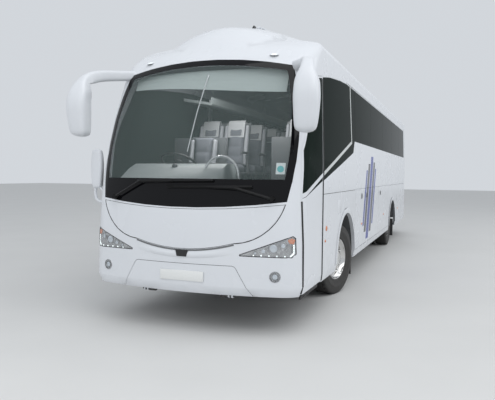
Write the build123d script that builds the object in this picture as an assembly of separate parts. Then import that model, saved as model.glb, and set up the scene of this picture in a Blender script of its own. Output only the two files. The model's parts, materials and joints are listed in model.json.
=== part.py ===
"""Two-axle touring coach as an assembly of its real pieces.

Millimetres. +X points forward, +Y to the coach's left, +Z up. The origin is on the ground, on the
centre line, midway between the rear panel and the front of the mirrors. Lengths along the coach are
given as stations: distances behind the bumper face.
"""
import math
import os
from build123d import *

os.makedirs("parts", exist_ok=True)

# Whole coach
LENGTH = 12200                 # bumper face to rear panel
HALF_WIDTH = 1275              # body side from the centre line
MIRROR_REACH = 90              # mirror faces ahead of the bumper face
NOSE_X = (LENGTH - MIRROR_REACH) / 2
WALL = 40                      # body side, doors and roof, as thick as the built panel
GLASS = 12                     # bonded glazing
SEAM = 5                       # running gap round doors and lids
FIT = 0.3                      # clearance at a seat
ACROSS = (-1400, 1400)         # reach of cuts through the whole width
PIN_FIT = 0.5                  # radial clearance round pins

# Heights
SILL_Z = 440                   # lower edge of the skirts
CREASE_Z = 540                 # crease above the tucked-in lower edge
WAIST_Z = 1510                 # seam above the luggage doors
LEAN_Z = 1900                  # the sides lean in above this
BELT_Z = 2250                  # lower edge of the side glass
CANT_Z = 3065                  # upper edge of the side glass
ROOF_EDGE_Z = 3300
CROWN_Z = 3450
FLOOR_Z = 1440                 # top of the saloon floor
TUCK = 13                      # the skirt tucks in this much at its lower edge
ROOF_EDGE_HALF = 1236
ROOF_EDGE_RADIUS = 110
REAR_RADIUS = 170              # rear corners, seen from above

# Stations of the main seams
PANEL_SEAM = 310               # front mask to entrance door
DOOR_REAR = 1180
ROOF_SEAM = 2700               # front roof moulding to roof
REAR_SEAM = LENGTH - 340       # sides and roof to rear panel
BAY_DOORS = ((3440, 4350), (4350, 6200), (6200, 8080))
BAY_SILL_Z = 545

# Axles
FRONT_AXLE = 2720
REAR_AXLE = 8800
TYRE_RADIUS = 511
TYRE_WIDTH = 295
RIM_RADIUS = 286
TRACK_OUTER = 1195             # outer tyre faces from the centre line
TWIN_SPACING = 335
KINGPIN_Y = 830
STEER_AT_REST = -13.5          # degrees about +Z: the front wheels are turned to the right
ARCH_RADIUS = 680
FRONT_ARCH_Z = 500
REAR_ARCH_Z = 440


def at(station):
    """X of a station behind the bumper face."""
    return NOSE_X - station


def block(stations, sides, heights):
    """Box between two stations, two sides and two heights."""
    (s0, s1), (y0, y1), (z0, z1) = stations, sides, heights
    centre = Pos(at((s0 + s1) / 2), (y0 + y1) / 2, (z0 + z1) / 2)
    return centre * Box(abs(s1 - s0), abs(y1 - y0), abs(z1 - z0))


def side_face(points, y=0.0):
    """Flat face of (station, height) points, standing at y."""
    return Face(Wire.make_polygon([Vector(at(s), y, z) for s, z in points], close=True))


def side_prism(points, sides, grow=0.0):
    """Outline of (station, height) points, grown or shrunk, between two sides."""
    low, high = min(sides), max(sides)
    face = side_face(points, low)
    if grow:
        face = offset(face, grow).face()
    return extrude(face, amount=high - low, dir=(0, 1, 0))


def front_prism(face, stations):
    """Outline in (y, z), drawn on the YZ plane, between two stations."""
    near, far = min(stations), max(stations)
    return extrude(Pos(at(far), 0, 0) * face, amount=far - near, dir=(1, 0, 0))


def front_face(points, grow=0.0):
    """Face on the YZ plane from (y, z) points, grown or shrunk."""
    face = Face(Wire.make_polygon([Vector(0, y, z) for y, z in points], close=True))
    return offset(face, grow).face() if grow else face


def mirrored(shape):
    return mirror(shape, about=Plane.XZ)


def gathered(*shapes):
    """Several separate solids as one piece."""
    return Compound(children=[solid for shape in shapes for solid in shape.solids()])


def largest(shape):
    return shape.solids().sort_by(SortBy.VOLUME)[-1]


AXIS_TURN = {"x": Rot(0, 90, 0), "y": Rot(90, 0, 0), "z": Rot(0, 0, 0)}


def rod(radius, length, centre, axis):
    """Cylinder about a point, along X, Y or Z."""
    return Pos(*centre) * AXIS_TURN[axis] * Cylinder(radius, length)


def post(radius, length, centre, axis, sides=8):
    """Many-sided bar about a point, along X, Y or Z, with its flats at the radius."""
    flat = RegularPolygon(radius, sides, major_radius=False)
    return Pos(*centre) * AXIS_TURN[axis] * extrude(flat, amount=length / 2, both=True)


def eased(table, firsts):
    """Rows at the given first values, on smooth curves through the table's rows."""
    slopes = []
    for i, row in enumerate(table):
        near = [(a, b) for a, b in zip(table, table[1:]) if row in (a, b)]
        slopes.append([sum((b[k] - a[k]) / (b[0] - a[0]) for a, b in near) / len(near)
                       for k in range(len(row))])
    rows = []
    for value in firsts:
        i = max(j for j in range(len(table) - 1) if table[j][0] <= value)
        step = table[i + 1][0] - table[i][0]
        t = (value - table[i][0]) / step
        rise = t * t * (3 - 2 * t)
        rows.append([table[i][k] + (table[i + 1][k] - table[i][k]) * rise
                     + step * t * (1 - t) * ((1 - t) * slopes[i][k] - t * slopes[i + 1][k])
                     for k in range(len(table[i]))])
    return rows


def faceted(rings, flat=False):
    """Closed solid of flat facets through rings of as many points each."""
    faces = [Face(Wire.make_polygon(ring, close=True)) for ring in (rings[0], rings[-1])]
    count = len(rings[0])
    for low, high in zip(rings, rings[1:]):
        for i in range(count):
            a, b, c, d = low[i], low[(i + 1) % count], high[(i + 1) % count], high[i]
            if flat:
                corners = [(a, b, c, d)]
            elif i < count // 2:
                corners = [(a, b, c), (a, c, d)]
            else:
                corners = [(a, b, d), (b, c, d)]
            faces += [Face(Wire.make_polygon(points, close=True)) for points in corners]
    return Part() + Solid(Shell(faces))


def sweep_angles(start, end, flats):
    return [start + (end - start) * i / flats for i in range(1, flats + 1)]


def side_half(z):
    """Half width of the body at a height."""
    if z < CREASE_Z:
        return HALF_WIDTH - TUCK * (CREASE_Z - z) / (CREASE_Z - SILL_Z)
    if z < LEAN_Z:
        return HALF_WIDTH
    return HALF_WIDTH - (HALF_WIDTH - ROOF_EDGE_HALF) * (z - LEAN_Z) / (ROOF_EDGE_Z - LEAN_Z)


def saloon(inset, low, near, far):
    """Straight body between two stations: cross section shrunk by inset, open below low."""
    x = at(far)
    corners = [(side_half(z) - inset, z) for z in (low, CREASE_Z, LEAN_Z)]
    edge = (ROOF_EDGE_HALF - inset, ROOF_EDGE_Z - inset)
    right = [Vector(x, -y, z) for y, z in corners + [edge]]
    left = [Vector(x, y, z) for y, z in reversed(corners + [edge])]
    crown = ThreePointArc(right[-1], Vector(x, 0, CROWN_Z - inset), left[0])
    wire = Wire([*Polyline(*right).edges(), *crown.edges(), *Polyline(*left).edges(),
                 *Polyline(left[-1], right[0]).edges()])
    face = Face(wire)
    shoulders = [v for v in face.vertices() if abs(v.Z - edge[1]) < 1]
    face = face.fillet_2d(ROOF_EDGE_RADIUS - inset, shoulders)
    return extrude(face, amount=far - near, dir=(1, 0, 0))


# Nose in plan at several heights: height, set-back of the middle, radius of the front, of the corner
NOSE_SECTIONS = (
    (540, 0, 4500, 240),
    (1000, 8, 4500, 250),
    (1450, 35, 4000, 260),
    (2100, 160, 3400, 270),
    (2700, 375, 3200, 290),
    (3080, 590, 3100, 300),
    (3270, 870, 3100, 300),
    (3470, 1400, 3100, 300),
)
NOSE_HEIGHTS = (540, 1000, 1450, 1780, 2100, 2400, 2700, 2890, 3080, 3270, 3470)
OUTER_FLATS, INNER_FLATS = (10, 5), (6, 3)     # flats of the front arc and of a corner
NOSE_TUCK = 55                 # the bumper's lower edge is this far behind its crease
NOSE_BACK = 2100               # the nose form blends into the straight sides before this
NOSE_SPREAD = 4                # the nose form stands outside the sides, so they trim it


def nose_ring(z, setback, radius, corner, inset, front_flats, corner_flats):
    """Plan outline of the nose as points: a front arc, two corner arcs and straight sides."""
    half = side_half(z) + NOSE_SPREAD - inset
    front, big, small = setback + inset, radius - inset, corner - inset
    side = half - small
    turn = math.asin(side / (big - small))
    reach = (big - small) * math.cos(turn)
    angles = [-math.pi / 2, *sweep_angles(-math.pi / 2, -turn, corner_flats),
              *sweep_angles(-turn, turn, front_flats), *sweep_angles(turn, math.pi / 2, corner_flats)]
    points = [(NOSE_BACK, -half)]
    for angle in angles:
        on_corner = abs(angle) > turn + 1e-9
        bend, across = (small, math.copysign(side, angle)) if on_corner else (big, 0)
        centre = front + big - (reach if on_corner else 0)
        points.append((centre - bend * math.cos(angle), across + bend * math.sin(angle)))
    return [Vector(at(s), y, z) for s, y in [*points, (NOSE_BACK, half)]]


def nose(inset, low):
    """Nose form: bands of flat facets between plan sections, tucked in below the bumper's crease."""
    _, setback, radius, corner = NOSE_SECTIONS[0]
    setback += NOSE_TUCK * (CREASE_Z - low) / (CREASE_Z - SILL_Z)
    inside = inset >= WALL
    rows = NOSE_SECTIONS if inside else eased(NOSE_SECTIONS, NOSE_HEIGHTS)
    flats = INNER_FLATS if inside else OUTER_FLATS
    return faceted([nose_ring(*row, inset, *flats) for row in [(low, setback, radius, corner), *rows]])


# Dome over the front of the roof: station, half width, height of its shoulders, of its crown
DOME_SECTIONS = (
    (790, 560, 3190, 3215),
    (960, 740, 3260, 3420),
    (1200, 900, 3360, 3585),
    (1700, 1030, 3460, 3640),
    (2700, 1080, 3490, 3655),
    (3700, 1060, 3450, 3585),
    (4600, 980, 3380, 3460),
)
DOME_STATIONS = (790, 870, 960, 1080, 1200, 1450, 1700, 2200, 2700, 3700, 4600)
DOME_BASE_Z = 3150
DOME_SHOULDER = 0.84           # shoulders stand at this share of the half width


def dome_ring(station, half, shoulder, crown, inset, flats):
    """Cross section of the dome as points: sloping sides and an arc over them."""
    half = half - inset
    inner, rise = half * DOME_SHOULDER, crown - shoulder
    radius = (inner ** 2 + rise ** 2) / (2 * rise)
    turn = math.asin(inner / radius)
    centre = crown - inset - radius
    arc = [(radius * math.sin(a), centre + radius * math.cos(a))
           for a in [-turn, *sweep_angles(-turn, turn, flats)]]
    return [Vector(at(station), y, z) for y, z in [(-half, DOME_BASE_Z), *arc, (half, DOME_BASE_Z)]]


def dome(inset):
    inside = inset >= WALL
    rows = DOME_SECTIONS if inside else eased(DOME_SECTIONS, DOME_STATIONS)
    flats = (INNER_FLATS if inside else OUTER_FLATS)[0]
    rows = [(s + inset * (i == 0), *row) for i, (s, *row) in enumerate(rows)]
    return faceted([dome_ring(*row, inset, flats) for row in rows])


REAR_LEAN = 110                # the rear panel leans forward this much from belt to roof
REAR_ROOF_RADIUS = 220


def rear_form(inset):
    """Rounds the rear corners in plan and leans the upper rear face."""
    back, half = LENGTH - inset, HALF_WIDTH + NOSE_SPREAD - inset
    radius = REAR_RADIUS - inset
    plan = Pos(at(back / 2), 0, 0) * RectangleRounded(back, 2 * half, radius)
    plan = extrude(plan, amount=CROWN_Z + WALL)
    top = CROWN_Z + WALL
    lean = side_prism([(LENGTH / 2, -WALL), (back, -WALL), (back, BELT_Z), (back - REAR_LEAN, top),
                       (LENGTH / 2, top)], (-half - WALL, half + WALL))
    corner = [e for e in lean.edges().filter_by(Axis.Y) if e.center().Z > CROWN_Z
              and e.center().X < 0]
    lean = fillet(corner, REAR_ROOF_RADIUS - inset)
    return plan & lean


def front_form(inset, low):
    """Solid of the front of the body, to the roof seam, without its dome."""
    straight = saloon(inset, low, -NOSE_TUCK, ROOF_SEAM)
    ahead = straight & nose(inset, low)
    return ahead + (straight & block((NOSE_BACK, ROOF_SEAM), (-1500, 1500), (low - 1, 3500)))


def dome_part(inset, stations):
    return dome(inset) & block(stations, (-1500, 1500), (DOME_BASE_Z, 3900))


BELOW = SILL_Z - 100           # inner forms run out below the sill
front_outer = front_form(0, SILL_Z)
front_glazed = front_form(GLASS, BELOW)
front_inner = front_form(WALL, BELOW)
front_skin = front_outer - front_inner
front_glaze = front_outer - front_glazed
side_outer = saloon(0, SILL_Z, DOOR_REAR, REAR_SEAM)
side_skin = side_outer - saloon(WALL, BELOW, DOOR_REAR, REAR_SEAM)
side_glaze = side_outer - saloon(GLASS, BELOW, DOOR_REAR, REAR_SEAM)

nodes = {}

# Windscreen: outline seen from the front
SCREEN_BOTTOM = 1370
SCREEN_CORNER = (1123, 1447)
SCREEN_SIDE = (1188, 2100)
SCREEN_TOP_CORNER = (1044, 2950)
SCREEN_TOP = 3050
FRIT = 75                      # black band round the clear area
FRIT_BOTTOM_Z = 1680           # lower edge of the clear area
SCREEN_REACH = (-100, 1150)


def arch_points(points, flats=7):
    """Closed outline in (y, z): arcs through each pair's middle point, each in a number of flats."""
    def point(y, z):
        return Vector(0, y, z)

    ends = list(zip(points[::2], points[1::2], points[2::2] + points[:1]))
    arcs = [Edge.make_three_point_arc(point(*a), point(*b), point(*c)) for a, b, c in ends]
    spots = [arc @ (i / flats) for arc in arcs for i in range(flats)]
    return [(spot.Y, spot.Z) for spot in spots]


def screen_face(grow=0.0):
    corner, side, top = SCREEN_CORNER, SCREEN_SIDE, SCREEN_TOP_CORNER
    return front_face(arch_points([
        (-corner[0], corner[1]), (0, SCREEN_BOTTOM), corner, side, top, (0, SCREEN_TOP),
        (-top[0], top[1]), (-side[0], side[1])]), grow)


screen_cut = front_prism(screen_face(), SCREEN_REACH)
clear_view = front_prism(screen_face(-FRIT), SCREEN_REACH) & block(
    (-200, 1300), ACROSS, (FRIT_BOTTOM_Z, 3300))
windscreen = front_glaze & screen_cut
nodes["windscreen"] = windscreen

# Side view lines shared by the panels: (station, height)
PILLAR_LINE = ((PANEL_SEAM, WAIST_Z), (400, 2000), (500, 2200), (950, 2870))
GLASS_TOP = ((950, 2870), (1610, 2970), (2240, 3030), (ROOF_SEAM, 3058))
GLASS_FOOT = ((PANEL_SEAM, 1450), (1230, 1650), (3230, 2060), (3360, BELT_Z - 10))
LEFT = (900, 1400)             # reach of the cuts through the left side


def line_height(line, station):
    """Height of a side view line at a station."""
    for (s0, z0), (s1, z1) in zip(line, line[1:]):
        if s0 <= station <= s1:
            return z0 + (z1 - z0) * (station - s0) / (s1 - s0)
    raise ValueError("station off the line")


# Lower front mask, with its lid, fold-down centre and lamps
MASK_TOP_Z = 1470
LID_TOP = (1110, 1420)
LID_HEM = (1000, 1205)
LID_FOOT = (589, 1000)
LID_FOOT_Z = 920
BUMPER_TOP = (600, 765)
BUMPER_FOOT = (800, SILL_Z - 20)
BUMPER_CORNER = 60
LAMP_OUTLINE = ((652, 874), (1185, 868), (1222, 905), (1214, 1070), (1192, 1090), (655, 888))
FOG_LAMP = (1025, 665)
FOG_RADIUS = 58
MASK_REACH = (-100, 500)


def lid_face(grow=0.0):
    top, hem, foot = LID_TOP, LID_HEM, LID_FOOT
    return front_face(arch_points([
        top, hem, foot, (0, LID_FOOT_Z), (-foot[0], foot[1]), (-hem[0], hem[1]),
        (-top[0], top[1]), (0, SCREEN_BOTTOM - 3 * SEAM)]), grow)


def bumper_face(grow=0.0):
    (top_y, top_z), (foot_y, foot_z) = BUMPER_TOP, BUMPER_FOOT
    face = front_face([(-foot_y, foot_z), (-top_y, top_z), (top_y, top_z), (foot_y, foot_z)])
    face = face.fillet_2d(BUMPER_CORNER, [v for v in face.vertices() if v.Z > top_z - 1])
    return offset(face, grow).face() if grow else face


mask_skin = front_skin & block((-100, 700), ACROSS, (SILL_Z - 50, MASK_TOP_Z))
mask_glaze = front_glaze & block((-100, 700), ACROSS, (SILL_Z - 50, MASK_TOP_Z))
fog_left = post(FOG_RADIUS, 400, (at(110), *FOG_LAMP), "x", 16)
lamp_left = front_prism(front_face(LAMP_OUTLINE), MASK_REACH)
mask = mask_skin & block((-100, PANEL_SEAM), ACROSS, (SILL_Z - 50, MASK_TOP_Z))
mask -= front_prism(lid_face(), MASK_REACH)
mask -= front_prism(bumper_face(), MASK_REACH)
mask -= mask_glaze & screen_cut
lamps = (mask_glaze & lamp_left) + (mask_glaze & fog_left)
mask -= lamps + mirrored(lamps)
nodes["front_mask"] = mask
nodes["headlamps"] = lamps + mirrored(lamps)
front_lid = mask_skin & front_prism(lid_face(-SEAM), MASK_REACH)
bumper_centre = mask_skin & front_prism(bumper_face(-SEAM), MASK_REACH)

# Front roof moulding with the windscreen pillars and the dome
moulding_zone = side_prism([(-100, MASK_TOP_Z), (PANEL_SEAM, MASK_TOP_Z), *PILLAR_LINE, *GLASS_TOP[1:],
                            (ROOF_SEAM, 3900), (-100, 3900)], ACROSS)
domed_outer = front_outer + dome_part(0, (0, ROOF_SEAM))
domed_inner = front_inner + dome_part(WALL, (0, ROOF_SEAM))
roof_front = (domed_outer & moulding_zone) - domed_inner
roof_front = roof_front - clear_view - (front_glaze & screen_cut)

# Roof behind the moulding, with the tail of the dome
roof_zone = block((ROOF_SEAM, REAR_SEAM), ACROSS, (CANT_Z, 3900))
roof_inner = saloon(WALL, BELOW, ROOF_SEAM, REAR_SEAM) + dome_part(WALL, (ROOF_SEAM, LENGTH))
roof = (saloon(0, SILL_Z, ROOF_SEAM, REAR_SEAM) & roof_zone) + dome_part(0, (ROOF_SEAM, LENGTH))
roof -= roof_inner

HATCH = (640, 620)             # roof hatch, along and across
HATCH_FRONT = (2060, 3648)     # station and height of the front hatch's middle
HATCH_REAR = (8900, CROWN_Z)
HATCH_COLLAR = 20              # the collar stands this far above the roof
HATCH_LID = 28
HATCH_EAR = 250                # hinge ears from the centre line
HATCH_PIN = 8
HATCH_CHEEK = 26               # the cheeks that hold a pin stand this far either side of it


def hatch(spot, inner):
    """Hole in the roof, collar with hinge lugs and pins, and lid with hinge ears."""
    station, top = spot
    along, across = HATCH
    rim = top + HATCH_COLLAR
    middle = Pos(at(station), 0, 0)
    hole = middle * Pos(0, 0, top) * Box(along - 80, across - 80, 400)
    collar = middle * Pos(0, 0, rim - 60) * Box(along - 20, across - 20, 120)
    lid = middle * Pos(0, 0, rim + SEAM + HATCH_LID / 2) * Box(along, across, HATCH_LID)
    lid = chamfer(lid.edges().filter_by(Axis.Z), 40)
    lid = chamfer(lid.faces().sort_by(Axis.Z)[-1].edges(), 10)
    pin_x, pin_z = at(station - along / 2 - 22), rim + SEAM + HATCH_LID / 2
    for y in (-HATCH_EAR, HATCH_EAR):
        ear = Pos((pin_x + at(station - along / 2 + 30)) / 2, y, pin_z) * Box(52, 30, 20)
        ear += post(2 * HATCH_PIN, 30, (pin_x, y, pin_z), "y")
        lid += ear
        collar += rod(HATCH_PIN, 2 * HATCH_CHEEK, (pin_x, y, pin_z), "y")
        for side in (-HATCH_CHEEK, HATCH_CHEEK):
            foot = at(station - along / 2 + 40)
            collar += Pos((pin_x - HATCH_PIN + foot) / 2, y + side, pin_z - 60) * Box(
                abs(foot - pin_x) + HATCH_PIN, 16, 120 + 2 * HATCH_PIN)
    for y in (-HATCH_EAR, HATCH_EAR):
        lid -= rod(HATCH_PIN + PIN_FIT, 60, (pin_x, y, pin_z), "y")
    lugs_clear = middle * Pos(0, 0, rim + SEAM / 2 + 200) * Box(along + 10, across + 10, 400)
    collar -= lugs_clear
    return hole, (collar - hole) - inner, lid


hole, collar, lid = hatch(HATCH_FRONT, domed_inner)
nodes["roof_front"] = (roof_front - hole) + collar
nodes["roof_hatch_front"] = lid
hole, collar, lid = hatch(HATCH_REAR, roof_inner)
nodes["roof"] = (roof - hole) + collar
nodes["roof_hatch_rear"] = lid

# Entrance door on the left, with its glass
DOOR_FOOT_Z = SILL_Z + 15
DOOR_GLASS_EDGE = 20           # door frame outside the glass
DOOR_FRAME = 45                # glass overlap on the door frame
door_top = line_height(GLASS_TOP, DOOR_REAR)
door_line = [(PANEL_SEAM, DOOR_FOOT_Z), *PILLAR_LINE, (DOOR_REAR, door_top), (DOOR_REAR, DOOR_FOOT_Z)]
glass_line = [(PANEL_SEAM, 1450), *PILLAR_LINE, (DOOR_REAR, door_top),
              (DOOR_REAR, line_height(GLASS_FOOT, DOOR_REAR))]
door_zone = block((PANEL_SEAM - 10, DOOR_REAR + 10), LEFT, (SILL_Z, 3000))
door_pane = (front_glaze & door_zone) & side_prism(glass_line, LEFT, -SEAM - DOOR_GLASS_EDGE)
door_view = side_prism(glass_line, LEFT, -SEAM - DOOR_GLASS_EDGE - DOOR_FRAME)
door = ((front_skin & door_zone) & side_prism(door_line, LEFT, -SEAM)) - door_pane - door_view
nodes["door_glass"] = door_pane

# Sides above the waist, with their panes
PANE_GAP = 8
PANE_SEAMS = (3380, 5080, 6800, 8520, 10240)
BAND_END = REAR_SEAM - 80
BAND_RAKE = 60                 # the last pane's rear edge leans forward this much
MULLION = 45                   # half width of the pillar behind a joint between panes
REVEAL = 45                    # glass overlap on the frame
GLASS_EDGE = 15                # frame outside the glass


def wall_side(front_line, start, skin, glaze):
    """One body side above the waist, with its panes, from a list of front edge points."""
    top = [p for p in GLASS_TOP if p[0] > start]
    zone = side_prism([*front_line, *top, (REAR_SEAM, CANT_Z), (REAR_SEAM, WAIST_Z)], LEFT)
    lowest = max(line_height(GLASS_FOOT, start), WAIST_Z + GLASS_EDGE)
    foot = [(start, lowest), *[p for p in GLASS_FOOT if p[0] > start]]
    front = [p for p in front_line if p[1] > foot[0][1]]
    band = [*foot, (BAND_END, BELT_Z), (BAND_END - BAND_RAKE, CANT_Z), *reversed(top),
            *reversed(front)]
    glass_cut = side_prism(band, LEFT, -GLASS_EDGE)
    view = side_prism(band, LEFT, -GLASS_EDGE - REVEAL)
    for seam in PANE_SEAMS:
        view -= block((seam - MULLION, seam + MULLION), LEFT, (1400, 3200))
    panes = glaze & glass_cut
    wall = (skin & zone) - panes - view
    for seam in PANE_SEAMS:
        panes -= block((seam - PANE_GAP / 2, seam + PANE_GAP / 2), LEFT, (1400, 3200))
    return wall, panes


left_half = block((DOOR_REAR, REAR_SEAM), LEFT, (SILL_Z, 3150))
cab_half = block((PANEL_SEAM, DOOR_REAR), LEFT, (SILL_Z, 3150))
skin_back, glaze_back = side_skin & left_half, side_glaze & left_half
skin_all, glaze_all = skin_back + (front_skin & cab_half), glaze_back + (front_glaze & cab_half)
left_front = [(DOOR_REAR, WAIST_Z), (DOOR_REAR, door_top)]
right_front = list(PILLAR_LINE)
left_wall, left_panes = wall_side(left_front, DOOR_REAR, skin_back, glaze_back)
right_wall, right_panes = wall_side(right_front, PANEL_SEAM, skin_all, glaze_all)

# Skirts below the waist, with wheel arches and flares, and the luggage doors on their hinges
FLARE = (75, 12)               # width and depth of the lip round an arch
HINGE_RADIUS = 7
HINGE_Y = HALF_WIDTH - 8
HINGE_Z = WAIST_Z - 12
HINGE_RAIL = (28, 30)          # inboard reach and height of the hinge rail
LEAF_THIN = 13                 # the leaf is this thick beside its hinge
ARCHES = ((FRONT_AXLE, FRONT_ARCH_Z), (REAR_AXLE, REAR_ARCH_Z))


def arch_rod(radius, spot, sides):
    station, height = spot
    low, high = sides
    return rod(radius, high - low, (at(station), (low + high) / 2, height), "y")


def skirt(start, skin):
    wall = skin & block((start, REAR_SEAM), LEFT, (SILL_Z, WAIST_Z))
    reach, depth = FLARE
    for spot in ARCHES:
        lip = arch_rod(ARCH_RADIUS + reach, spot, (HALF_WIDTH - 20, HALF_WIDTH + depth))
        lip &= block((spot[0] - 900, spot[0] + 900), (HALF_WIDTH - 20, 1400), (CREASE_Z, WAIST_Z))
        wall = wall + lip - arch_rod(ARCH_RADIUS, spot, LEFT)
    wall -= block((BAY_DOORS[0][0], BAY_DOORS[-1][1]), LEFT, (BAY_SILL_Z, WAIST_Z + 1))
    # The first door's front seam runs on down through the sill
    return wall - block((BAY_DOORS[0][0], BAY_DOORS[0][0] + SEAM), LEFT, (SILL_Z - 1, BAY_SILL_Z + 1))


def bay_door(stations):
    """Luggage door, thin at its top, where a round bead turns in the hinge rail."""
    start, end = stations[0] + SEAM / 2, stations[1] - SEAM / 2
    leaf = skin_back & block((start, end), LEFT, (BAY_SILL_Z + SEAM, HINGE_Z))
    reach, height = HINGE_RAIL
    leaf -= block((start, end), (900, HALF_WIDTH - LEAF_THIN), (HINGE_Z - height - SEAM, 1600))
    return leaf + rod(HINGE_RADIUS, end - start, (at((start + end) / 2), HINGE_Y, HINGE_Z), "x")


def bay_rail(stations):
    """Rail under the waist seam with a round seat for the door's bead."""
    start, end = stations[0] + SEAM, stations[1] - SEAM
    reach, height = HINGE_RAIL
    rail = block((start, end), (HINGE_Y - reach, HINGE_Y), (HINGE_Z - height + 12, WAIST_Z))
    rail -= rod(HINGE_RADIUS + FIT, end - start + 10, (at((start + end) / 2), HINGE_Y, HINGE_Z), "x")
    return rail - block((start - 5, end + 5), (HINGE_Y - HINGE_RADIUS, 1400), (1400, HINGE_Z))


for stations in BAY_DOORS:
    left_wall += bay_rail(stations)
    right_wall += bay_rail(stations)
nodes["side_left"], nodes["side_right"] = left_wall, mirrored(right_wall)
nodes["skirt_left"] = skirt(DOOR_REAR, skin_back)
nodes["skirt_right"] = mirrored(skirt(PANEL_SEAM, skin_all))
for number, stations in enumerate(BAY_DOORS, start=1):
    flap = bay_door(stations)
    nodes[f"bay_door_left_{number}"] = flap
    nodes[f"bay_door_right_{number}"] = mirrored(flap)

# Rear panel with the engine lid, rear window and lamps
REAR_LID = (1010, 640, 1720)   # half width, lower and upper edge
REAR_GLASS = (980, 2280, 3020)
REAR_GLASS_TAPER = 60
TAIL_LAMP = ((1050, 1190), (930, 1480))
TAIL_REACH = (REAR_SEAM - 60, LENGTH + 50)
rear_outer = saloon(0, SILL_Z, REAR_SEAM, LENGTH) & rear_form(0)
rear_skin = rear_outer - (saloon(WALL, BELOW, REAR_SEAM, LENGTH) & rear_form(WALL))
rear_glaze = rear_outer - (saloon(GLASS, BELOW, REAR_SEAM, LENGTH) & rear_form(GLASS))


def frame_points(half, low, high, taper=0):
    return [(-half, low), (half, low), (half - taper, high), (taper - half, high)]


lid_points = frame_points(*REAR_LID)
window_points = frame_points(*REAR_GLASS, REAR_GLASS_TAPER)
rear_pane = rear_glaze & front_prism(front_face(window_points), TAIL_REACH)
rear_view = front_prism(front_face(window_points, -60), TAIL_REACH)
(lamp_in, lamp_out), (lamp_low, lamp_high) = TAIL_LAMP
tail_lamp = block(TAIL_REACH, (lamp_in, lamp_out), (lamp_low, lamp_high)) & rear_glaze
lid_top = REAR_LID[2] - 12
rear_hinge_x = at(LENGTH - 8)
leaf = rear_skin & front_prism(front_face(lid_points, -SEAM), TAIL_REACH)
leaf &= block(TAIL_REACH, (-1200, 1200), (400, lid_top))
leaf -= block((0, LENGTH - LEAF_THIN), (-1200, 1200), (lid_top - HINGE_RAIL[1] - SEAM, 1900))
bead_length = 2 * (REAR_LID[0] - SEAM)
nodes["rear_lid"] = leaf + rod(HINGE_RADIUS, bead_length, (rear_hinge_x, 0, lid_top), "y")
rail = block((LENGTH - 8 - HINGE_RAIL[0], LENGTH - 8), (-REAR_LID[0], REAR_LID[0]),
             (lid_top - HINGE_RAIL[1] + 12, REAR_LID[2]))
rail -= rod(HINGE_RADIUS + FIT, bead_length + 50, (rear_hinge_x, 0, lid_top), "y")
rail -= block((LENGTH - 8 - HINGE_RADIUS, LENGTH + 50), (-1200, 1200), (1400, lid_top))
rear_panel = rear_skin - front_prism(front_face(lid_points), TAIL_REACH) + rail
rear_panel = rear_panel - rear_pane - rear_view - tail_lamp - mirrored(tail_lamp)
nodes["rear_panel"] = rear_panel
nodes["saloon_glass"] = gathered(left_panes, mirrored(right_panes), rear_pane)
nodes["tail_lamps"] = tail_lamp + mirrored(tail_lamp)

# Front lid and fold-down bumper centre: lugs on the panels, and the arms that carry the lid
LID_ARM_Y = 450                # arms of the front lid from the centre line
LID_PIVOT = (210, 1325)        # station and height of the arms' upper pins
LID_ARM = 300
LID_PIN = 12
BUMPER_PIVOT = (150, 420)
BUMPER_PIN = 10
RAIL_SIDES = (400, 480)        # the chassis rails, from the centre line
EYE_WALL = 10                  # wall round a pin
TIE_RADIUS = 10


def eye(radius, width, spot, y):
    """Round eye about a pin that runs across the coach."""
    station, height = spot
    return post(radius + EYE_WALL, width, (at(station), y, height), "y")


def eye_bore(radius, spot, y, width=100):
    station, height = spot
    return rod(radius + PIN_FIT, width, (at(station), y, height), "y")


lid_foot = (LID_PIVOT[0], LID_PIVOT[1] - LID_ARM)
lid_arms = Part()
for side in (-1, 1):
    y = side * LID_ARM_Y
    arm = block((LID_PIVOT[0] - 12, LID_PIVOT[0] + 12), (y - 10, y + 10), (lid_foot[1], LID_PIVOT[1]))
    arm += eye(LID_PIN, 20, LID_PIVOT, y) + eye(LID_PIN, 20, lid_foot, y)
    lid_arms += arm - eye_bore(LID_PIN, LID_PIVOT, y) - eye_bore(LID_PIN, lid_foot, y)
tie_z = LID_PIVOT[1] - LID_ARM / 2
lid_arms += post(TIE_RADIUS, 2 * LID_ARM_Y - 20, (at(LID_PIVOT[0]), 0, tie_z), "y", 6)
nodes["lid_arms"] = lid_arms

inside_mask = front_inner & block((-100, 700), ACROSS, (BELOW, 1600))
for side in (-1, 1):
    y = side * LID_ARM_Y
    for cheek in (-22, 22):
        lug = block((0, lid_foot[0] + 22), (y + cheek - 6, y + cheek + 6),
                    (lid_foot[1] - 22, lid_foot[1] + 22))
        front_lid += (lug & inside_mask)
    front_lid += rod(LID_PIN, 44, (at(lid_foot[0]), y, lid_foot[1]), "y")
    for cheek in (500, 540):
        y = side * cheek
        lug = side_prism([(0, 600), (0, 440), (BUMPER_PIVOT[0] - 20, BUMPER_PIVOT[1] + 2),
                          (BUMPER_PIVOT[0] + 20, BUMPER_PIVOT[1]), (BUMPER_PIVOT[0], BUMPER_PIVOT[1] + 60)],
                         (y - 8, y + 8))
        lug = (lug & inside_mask) + eye(BUMPER_PIN, 16, BUMPER_PIVOT, y)
        bumper_centre += lug
        bumper_centre -= eye_bore(BUMPER_PIN, BUMPER_PIVOT, y, 30)
nodes["front_lid"] = front_lid
nodes["bumper_centre"] = bumper_centre

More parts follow.
